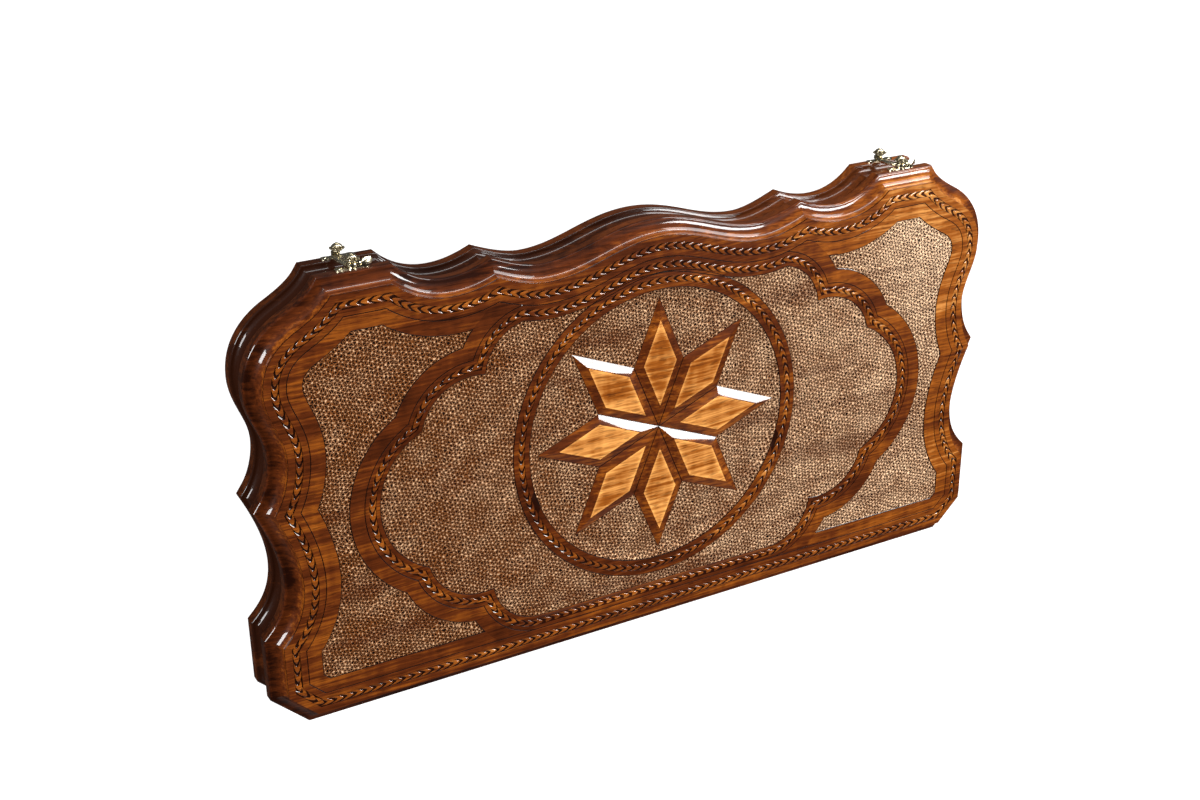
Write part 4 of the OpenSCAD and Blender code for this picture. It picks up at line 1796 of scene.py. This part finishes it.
@dataclass
class ScaleChain:
    """Overlapping carved scales, flat-domed, with painted shade at their ends and sides for the
    gouge cut between them.
    """

    pitch: float = 7.3
    width: float = 5.0
    rise: float = 0.75
    share: float = 0.80
    tone: float = 0.56
    painted_end_shade: float = 1.0
    painted_side_shade: float = 0.25
    grid: Grid = Grid(6, 6)

    def bead(self) -> bpy.types.Object:
        """Carve one scale, with a rounded front, a hollow back and a flat dome.

        Returns:
            The scale in metres; its path runs along X.
        """
        points, burns = [], []
        for t, v in self.grid.cells():
            front = self.pitch * (0.62 * (1 - abs(v) ** 1.7) - 0.05)
            x = front + (t - 1) * self.pitch * self.share
            along = 1 - abs(2 * t - 1) ** 3
            across = 1 - 0.55 * v * v
            height = -self.rise + self.rise * (0.12 + 0.88 * along * across)
            points.append((x, v * self.width / 2 * (0.86 + 0.14 * along), height))
            # Painted shade: the burn attribute darkens each scale's ends and sides, where the
            # gouge cut lies between them.
            side = self.painted_side_shade if abs(v) == 1 else 0.0
            burns.append(self.painted_end_shade if t in (0, 1) else side)
        faces = [quad[::-1] for quad in self.grid.quads()]
        bead = new_piece("scale_bead", np.array(points) * MM, faces)
        put_values(bead.data, "burn", Domain.POINT, burns)
        put_values(bead.data, "tone", Domain.FACE, [self.tone] * len(faces))
        put_values(bead.data, "ground", Domain.FACE, [0.0] * len(faces))
        shaded(bead, 80)
        return bead


@dataclass
class Chains:
    """The three chains of scales on each carved face."""

    carving: Carving
    stringer: Stringer
    scale: ScaleChain = field(default_factory=ScaleChain)

    def build(self, finish: bpy.types.Material) -> list[bpy.types.Object]:
        """Make the chains of both halves.

        Args:
            finish: Their material.

        Returns:
            One piece for each half.
        """
        bead = self.scale.bead()
        carving = self.carving
        border, band, ring = (
            sum(span) / 2
            for span in (carving.border_groove, carving.band_groove, carving.ring_groove)
        )
        paths = [
            carving.outline.ring(border),
            carving.medallion.loop(-band),
            circle_path(carving.ring_r - ring, carving.circle_points),
        ]
        made = [self.stringer.string(p, self.scale.pitch, bead, finish) for p in paths]
        work = bmesh.new()
        for chain in made:
            work.from_mesh(chain.data)
            bpy.data.objects.remove(chain)
        bpy.data.objects.remove(bead)
        pieces = []
        for half in Half:
            copy = work.copy()
            top = Placement.total_h * MM
            for v in copy.verts:
                v.co.y += Placement.shift_y * MM
                v.co.z = top + v.co.z if half is Half.LID else -v.co.z
            if half is Half.BASE:
                bmesh.ops.reverse_faces(copy, faces=copy.faces)
            piece = from_work(copy, f"{half.value}_scale_chains")
            piece.data.materials.clear()
            piece.data.materials.append(finish)
            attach(piece, half.value)
            pieces.append(piece)
        work.free()
        return pieces


# ---------------------------------------------------------------- latches


def softened(solid: bpy.types.Object, name: str, width: float) -> bpy.types.Object:
    """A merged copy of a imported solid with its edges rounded.

    Args:
        solid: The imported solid.
        name: Name of the copy.
        width: Width of the rounding in millimetres.

    Returns:
        The copy, with the rounding applied.
    """
    work = bmesh.new()
    work.from_mesh(solid.data)
    bmesh.ops.remove_doubles(work, verts=work.verts, dist=2e-6)
    bmesh.ops.dissolve_limit(work, angle_limit=math.radians(1), verts=work.verts,
                             edges=work.edges)
    copy = from_work(work, f"{name}_rough")
    bevel = copy.modifiers.new("round", "BEVEL")
    bevel.width, bevel.segments = width * MM, 2
    bevel.limit_method, bevel.angle_limit = "ANGLE", math.radians(40)
    return evaluated(copy, name)


@dataclass(frozen=True)
class Crown:
    """One ring of petals, each a domed leaf that rises or droops outwards."""

    count: int
    inner_r: float
    length: float
    width: float
    rise: float
    tilt: float
    height: float
    thickness: float = 0.55
    grid: Grid = Grid(5, 4)

    def petal(self) -> bpy.types.Object:
        """Cast one petal.

        Returns:
            The petal in metres; it points along -Y, away from the flower's middle.
        """
        points, faces, burns = [], [], []
        for t, v in self.grid.cells():
            girth = max(0.08, math.sin(math.pi * (0.18 + 0.80 * t)) ** 0.6)
            dome = self.rise * girth * (1 - v * v - 0.22 * (1 - abs(v)))
            points.append((v * self.width / 2 * girth, -t * self.length,
                           dome + self.tilt * t * t))
            burns.append(0.9 if abs(v) == 1 or t == 0 else 0.0)
        top = len(points)
        points += [(x, y, z - self.thickness) for x, y, z in points]
        burns += [1.0] * top
        for quad in self.grid.quads():
            faces += [quad, tuple(top + i for i in reversed(quad))]
        rim = self.grid.rim()
        faces += [(a, b, top + b, top + a) for a, b in zip(rim, rim[1:] + rim[:1])]
        petal = new_piece("petal", np.array(points) * MM, faces)
        put_values(petal.data, "burn", Domain.POINT, burns)
        shaded(petal, 60)
        return petal


@dataclass
class Rosette:
    """Cast flower head on a turned neck: two rings of petals, a dome and a ball."""

    stringer: Stringer
    foot_z: float = 4.4
    height: float = 5.6
    steps: int = 24
    circle_points: int = 72
    creases: tuple[float, ...] = (2.9, 2.3, 1.0)
    crowns: tuple[Crown, ...] = (Crown(9, 2.3, 2.9, 3.0, 0.6, 0.7, 1.7),
                                 Crown(6, 0.7, 3.1, 3.2, 0.6, -1.5, 4.6))

    def core(self, neck_r: float, collar_r: float) -> bpy.types.Object:
        """Turn the shaft, collar, neck, dome and ball about Z.

        Args:
            neck_r: Radius of the neck.
            collar_r: Radius of the collar at its foot.

        Returns:
            The core in metres.
        """
        z = self.foot_z
        top = z + self.height
        outline = [(0.0, -6.0), (1.5, -6.0), (1.5, 1.0), (collar_r, 1.0), (collar_r, 1.6),
                   (neck_r, 1.6), (neck_r, z), (2.8, z), (3.3, z + 0.5), (2.9, z + 1.2),
                   (3.5, z + 1.8), (3.4, z + 2.2), (2.3, z + 2.6), (2.9, z + 3.1),
                   (3.1, z + 3.6), (2.7, z + 4.2), (1.7, z + 4.7), (1.0, z + 4.8),
                   (1.25, z + 5.1), (0.8, top - 0.12), (0.0, top)]
        steps = self.steps
        points: list[tuple[float, float, float]] = []
        burns: list[float] = []
        for r, h in outline:
            count = steps if r > 0 else 1
            for k in range(count):
                a = 2 * math.pi * k / steps
                points.append((r * math.cos(a), r * math.sin(a), h))
                burns.append(0.9 if h > z and r in self.creases else 0.0)
        faces = []
        rings = len(outline) - 2
        for j in range(rings - 1):
            for k in range(steps):
                a, b = 1 + j * steps + k, 1 + j * steps + (k + 1) % steps
                faces.append((a, b, b + steps, a + steps))
        last = len(points) - 1
        for k in range(steps):
            n = (k + 1) % steps
            faces.append((0, 1 + n, 1 + k))
            faces.append((last, last - steps + k, last - steps + n))
        core = new_piece("core", np.array(points) * MM, faces)
        put_values(core.data, "burn", Domain.POINT, burns)
        shaded(core, 50)
        return core

    def build(self, neck_r: float, finish: bpy.types.Material) -> bmesh.types.BMesh:
        """The whole stud on its own axes, with Z away from the rim.

        Args:
            neck_r: Radius of the neck that the hook turns on or catches.
            finish: Its material.

        Returns:
            The mesh in metres.
        """
        work = bmesh.new()
        core = self.core(neck_r, neck_r + 1)
        work.from_mesh(core.data)
        bpy.data.objects.remove(core)
        for crown in self.crowns:
            petal = crown.petal()
            circle = circle_path(crown.inner_r, self.circle_points)
            ring = self.stringer.string(circle, path_length(circle) / crown.count, petal, finish)
            bpy.data.objects.remove(petal)
            start = len(work.verts)
            work.from_mesh(ring.data)
            work.verts.ensure_lookup_table()
            for v in work.verts[start:]:
                v.co.z += (self.foot_z + crown.height) * MM
            bpy.data.objects.remove(ring)
        return work


@dataclass
class Latches:
    """Both hook latches: studs with flower heads, and cast hooks with a domed leaf."""

    frame: dict[str, Any]
    stringer: Stringer
    latch_x: float = 217.75
    rim_top_y: float = 155.0
    lid_z: float = 40.0
    base_z: float = 15.0
    pivot_r: float = 1.6
    stud_r: float = 1.8
    hub_r: float = 3.6
    leaf_len: float = 11.0
    leaf_bend: float = 8.0
    leaf_clear: float = 5.4
    leaf_overlap: float = 0.8
    leaf_top: tuple[float, float] = (4.1, 1.5)
    leaf_low: tuple[float, float] = (1.9, 0.0)
    leaf_grid: Grid = Grid(12, 8)
    edge_round: float = 0.45

    def _seat(self, side: str, half: Half) -> Matrix:
        """Find a latch part's place on the rim.

        Args:
            side: Left or right.
            half: The half that carries it.

        Returns:
            The matrix from the part's own axes.
        """
        x = self.latch_x * SIDES[side]
        z = self.lid_z if half is Half.LID else self.base_z
        y = self.rim_top_y + Placement.shift_y
        return Matrix(((1, 0, 0, x * MM), (0, 0, 1, y * MM), (0, -1, 0, z * MM), (0, 0, 0, 1)))

    def _leaf(self) -> bmesh.types.BMesh:
        """Cast the hook's thumb leaf, domed like a lentil, with a rib.

        Returns:
            The mesh in metres, on the hook's own axes.
        """
        start, bend = self.hub_r - self.leaf_overlap, self.leaf_bend
        sagitta = math.sqrt(bend * bend - self.leaf_len ** 2 / 4)
        work = bmesh.new()
        top, low = [], []
        for layer, (foot, dome) in ((top, self.leaf_top), (low, self.leaf_low)):
            for t, v in self.leaf_grid.cells():
                along = self.leaf_len * (t - 0.5)
                half = max(0.02, math.sqrt(bend * bend - along * along) - sagitta)
                x = start + self.leaf_len / 2 + along
                clear = min(1.0, max(0.0, (x - self.leaf_clear) / 2))
                rib = 0.25 * max(0.0, 1 - abs(v) * 3)
                height = foot + dome * min(1.0, half) ** 0.7 * clear * (1 - v * v + rib)
                layer.append(work.verts.new((x * MM, v * half * MM, height * MM)))
        for quad in self.leaf_grid.quads():
            work.faces.new([top[i] for i in quad])
            work.faces.new([low[i] for i in reversed(quad)])
        rim = self.leaf_grid.rim()
        for a, b in zip(rim, rim[1:] + rim[:1]):
            work.faces.new((top[a], top[b], low[b], low[a]))
        bmesh.ops.recalc_face_normals(work, faces=work.faces)
        return work

    @staticmethod
    def _finished(work: bmesh.types.BMesh, name: str, node: str, body: str,
                  finish: bpy.types.Material, sharp: float) -> bpy.types.Object:
        """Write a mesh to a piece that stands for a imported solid.

        Args:
            work: The mesh, which is freed.
            name: The piece's name.
            node: The solid's name.
            body: The body that it rides on.
            finish: Its material.
            sharp: Angle above which edges stay sharp.

        Returns:
            The piece.
        """
        piece = from_work(work, name)
        piece.data.materials.clear()
        piece.data.materials.append(finish)
        shaded(piece, sharp)
        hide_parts(node)
        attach(piece, body)
        return piece

    def build(self, finish: bpy.types.Material) -> list[bpy.types.Object]:
        """Make the studs and hooks.

        Args:
            finish: The brass.

        Returns:
            The six pieces.
        """
        made = []
        rosette = Rosette(self.stringer)
        for neck_r, half, part in ((self.pivot_r, Half.LID, "latch_pivot"),
                                   (self.stud_r, Half.BASE, "catch_stud")):
            stud = rosette.build(neck_r, finish)
            for side in SIDES:
                copy = stud.copy()
                bmesh.ops.transform(copy, matrix=self._seat(side, half), verts=copy.verts)
                made.append(self._finished(copy, f"{side}_{part}_flower", f"{side}_{part}",
                                           half.value, finish, 50))
            stud.free()
        for side in SIDES:
            node = f"{side}_latch_hook"
            flat = softened(self.frame["nodes"][node], f"{node}_flat", self.edge_round)
            work = self._leaf()
            bmesh.ops.transform(work, matrix=self._seat(side, Half.LID), verts=work.verts)
            work.from_mesh(flat.data)
            bpy.data.objects.remove(flat)
            made.append(self._finished(work, f"{side}_hook_casting", node, f"{side}_hook",
                                       finish, 35))
        return made


# ---------------------------------------------------------------- studio


@dataclass(frozen=True)
class Softbox:
    """A rectangular lamp that looks at the board, with lengths in metres."""

    name: str
    toward: Place
    distance: float
    size: tuple[float, float]
    radiance: float

    def build(self) -> bpy.types.Object:
        """Make the lamp.

        Returns:
            The lamp, turned to the board.
        """
        lamp = bpy.data.lights.new(self.name, "AREA")
        lamp.shape = "RECTANGLE"
        lamp.size, lamp.size_y = self.size
        lamp.energy = self.radiance * math.pi * self.size[0] * self.size[1]
        made = linked(self.name, lamp)
        place = Vector(self.toward).normalized() * self.distance
        made.location = place
        made.rotation_mode = "QUATERNION"
        made.rotation_quaternion = (-place).to_track_quat("-Z", "Y")
        return made


@dataclass
class Studio:
    """Pale floor, soft lamps, a plain world and the camera of the photograph."""

    camera_at: Place = (-557.8, 491.45, 959.7)
    looks: Place = (0.4481, -0.4047, -0.7971)
    up: Place = (0.2069, 0.9144, -0.3479)
    lens: float = 49.0
    floor_half: float = 8.0
    floor_shade: float = 0.4
    floor_hidden: float = 0.04
    floor_glow: float = 0.85
    all_round: float = 0.07
    latch_side: float = 0.45
    hinge_side: float = 1.0
    backdrop: float = 0.4
    mirror_loss: float = 0.7
    lamps: tuple[Softbox, ...] = (
        Softbox("key_softbox", (0.64, 0.10, 0.765), 2.4, (0.62, 0.62), 46.0),
        Softbox("rear_softbox", (0.70, 0.68, 0.22), 2.4, (0.9, 1.0), 13.0),
        Softbox("overhead_strip", (0.30, 0.94, 0.10), 2.4, (2.6, 0.26), 15.0),
        Softbox("left_strip", (-0.80, 0.32, 0.40), 2.2, (0.5, 0.9), 34.0),
    )

    def build(self) -> None:
        """Make the floor, the lamps, the world and the camera."""
        self._camera()
        self._floor()
        self._world()
        for lamp in self.lamps:
            lamp.build()
        bpy.context.scene.view_settings.view_transform = "Standard"

    def _camera(self) -> None:
        """The camera, where the photograph was taken from."""
        data = bpy.data.cameras.new("camera")
        data.lens, data.sensor_width, data.sensor_fit = self.lens, 36.0, "HORIZONTAL"
        data.clip_start, data.clip_end = 0.05, 30.0
        camera = linked("camera", data)
        forward = Vector(self.looks).normalized()
        right = forward.cross(Vector(self.up)).normalized()
        up = right.cross(forward)
        turn = Matrix((right, up, -forward)).transposed()
        camera.matrix_world = Matrix.Translation(Vector(self.camera_at) * MM) @ turn.to_4x4()
        bpy.context.scene.camera = camera

    def _floor(self) -> None:
        """Make a plain pale floor that keeps the board's shadow and turns white far off."""
        corners = [(-1, -1, 0), (1, -1, 0), (1, 1, 0), (-1, 1, 0)]
        floor = new_piece("floor", np.array(corners) * self.floor_half, [(0, 1, 2, 3)])
        material, bench = new_material("floor")
        place = bench.places()
        behind = (bench.dot(place, (0.0, 1.0, 0.0)).between(0.26, 0.40)
                  * bench.dot(place, (1.0, 0.0, 0.0)).between(-0.30, 0.05))
        shown = bench.seen() + bench.mirrored() * behind
        pale = bench.mix(bench.seen(), (self.floor_hidden,) * 3, (self.floor_shade,) * 3)
        far = bench.length(place).between(0.8, 3.0)
        bench.finish(Base_Color=pale, Roughness=0.9, Specular_IOR_Level=0.1,
                     Emission_Color=WHITE,
                     Emission_Strength=shown * (self.floor_glow + far * (1 - self.floor_glow)))
        floor.data.materials.append(material)

    def _world(self) -> None:
        """Make plain light, strongest from the latch and hinge edges, and white to the camera."""
        world = bpy.data.worlds.new("studio")
        world.use_nodes = True
        bpy.context.scene.world = world
        bench = Bench(world.node_tree)
        look = bench.node("ShaderNodeTexCoord", out="Generated")
        rear = bench.dot(look, (0.15, 0.90, 0.10)).between(-0.1, 0.9)
        front = bench.dot(look, (0.0, -1.0, -0.1)).between(0.5, 0.95)
        level = self.all_round + rear * self.latch_side + front * self.hinge_side
        backdrop = (bench.dot(look, (0.0, 1.0, 0.0)).between(0.3, 0.75)
                    * bench.dot(look, (0.0, 0.0, 1.0)).between(0.5, 0.2))
        shown = bench.seen() + bench.mirrored() * backdrop * self.backdrop
        strength = shown + (1.0 - shown) * level * (1.0 - bench.mirrored() * self.mirror_loss)
        light = bench.node("ShaderNodeBackground", {}, {"Color": WHITE, "Strength": strength},
                           "Background")
        bench.surface(light, "ShaderNodeOutputWorld")


# ---------------------------------------------------------------- the board


@dataclass
class Board:
    """The whole board, put together in order."""

    frame: dict[str, Any]
    finishes: Finishes = field(default_factory=Finishes)

    def dress(self, node: str, finish: bpy.types.Material) -> None:
        """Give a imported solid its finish.

        Args:
            node: The solid's name.
            finish: Its material.
        """
        solid = self.frame["nodes"][node]
        if not solid.material_slots:
            solid.data.materials.append(finish)
        for holder in solid.material_slots:
            holder.material = finish
        LOG.info("dressed %s with %s", node, finish.name)

    def build(self) -> None:
        """Make every piece and dress every solid that stays."""
        done = self.finishes
        outline = Outline()
        carving = Carving(outline, Medallion(outline), Star())
        pieces: list[bpy.types.Object] = []
        for half in Half:
            pieces.append(CarvedFace(half, outline, carving).build(done.carved))
            pieces += RimWood(half, outline).build(done.rail)
            for part, finish in (("field", done.board), ("light_points", done.maple),
                                 ("dark_points", done.wenge), ("hinge_screws", done.steel),
                                 ("latch_nails", done.brass)):
                self.dress(f"{half.value}_{part}", finish)
        stringer = Stringer()
        pieces += Chains(carving, stringer).build(done.carved)
        pieces += Latches(self.frame, stringer).build(done.brass)
        for side in SIDES:
            for part, finish in (("hinge_base_leaf", done.hinge), ("hinge_lid_leaf", done.hinge),
                                 ("hinge_pin", done.steel), ("latch_plate", done.brass),
                                 ("catch_plate", done.brass)):
                self.dress(f"{side}_{part}", finish)
        for piece in pieces:
            LOG.info("made %s with %d faces", piece.name, len(piece.data.polygons))


def main() -> None:
    """Load the frame, and build the board and the studio."""
    logging.basicConfig(level=logging.INFO, format="%(name)s: %(message)s")
    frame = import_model()
    Board(frame).build()
    Studio().build()


if __name__ == "__main__":
    main()
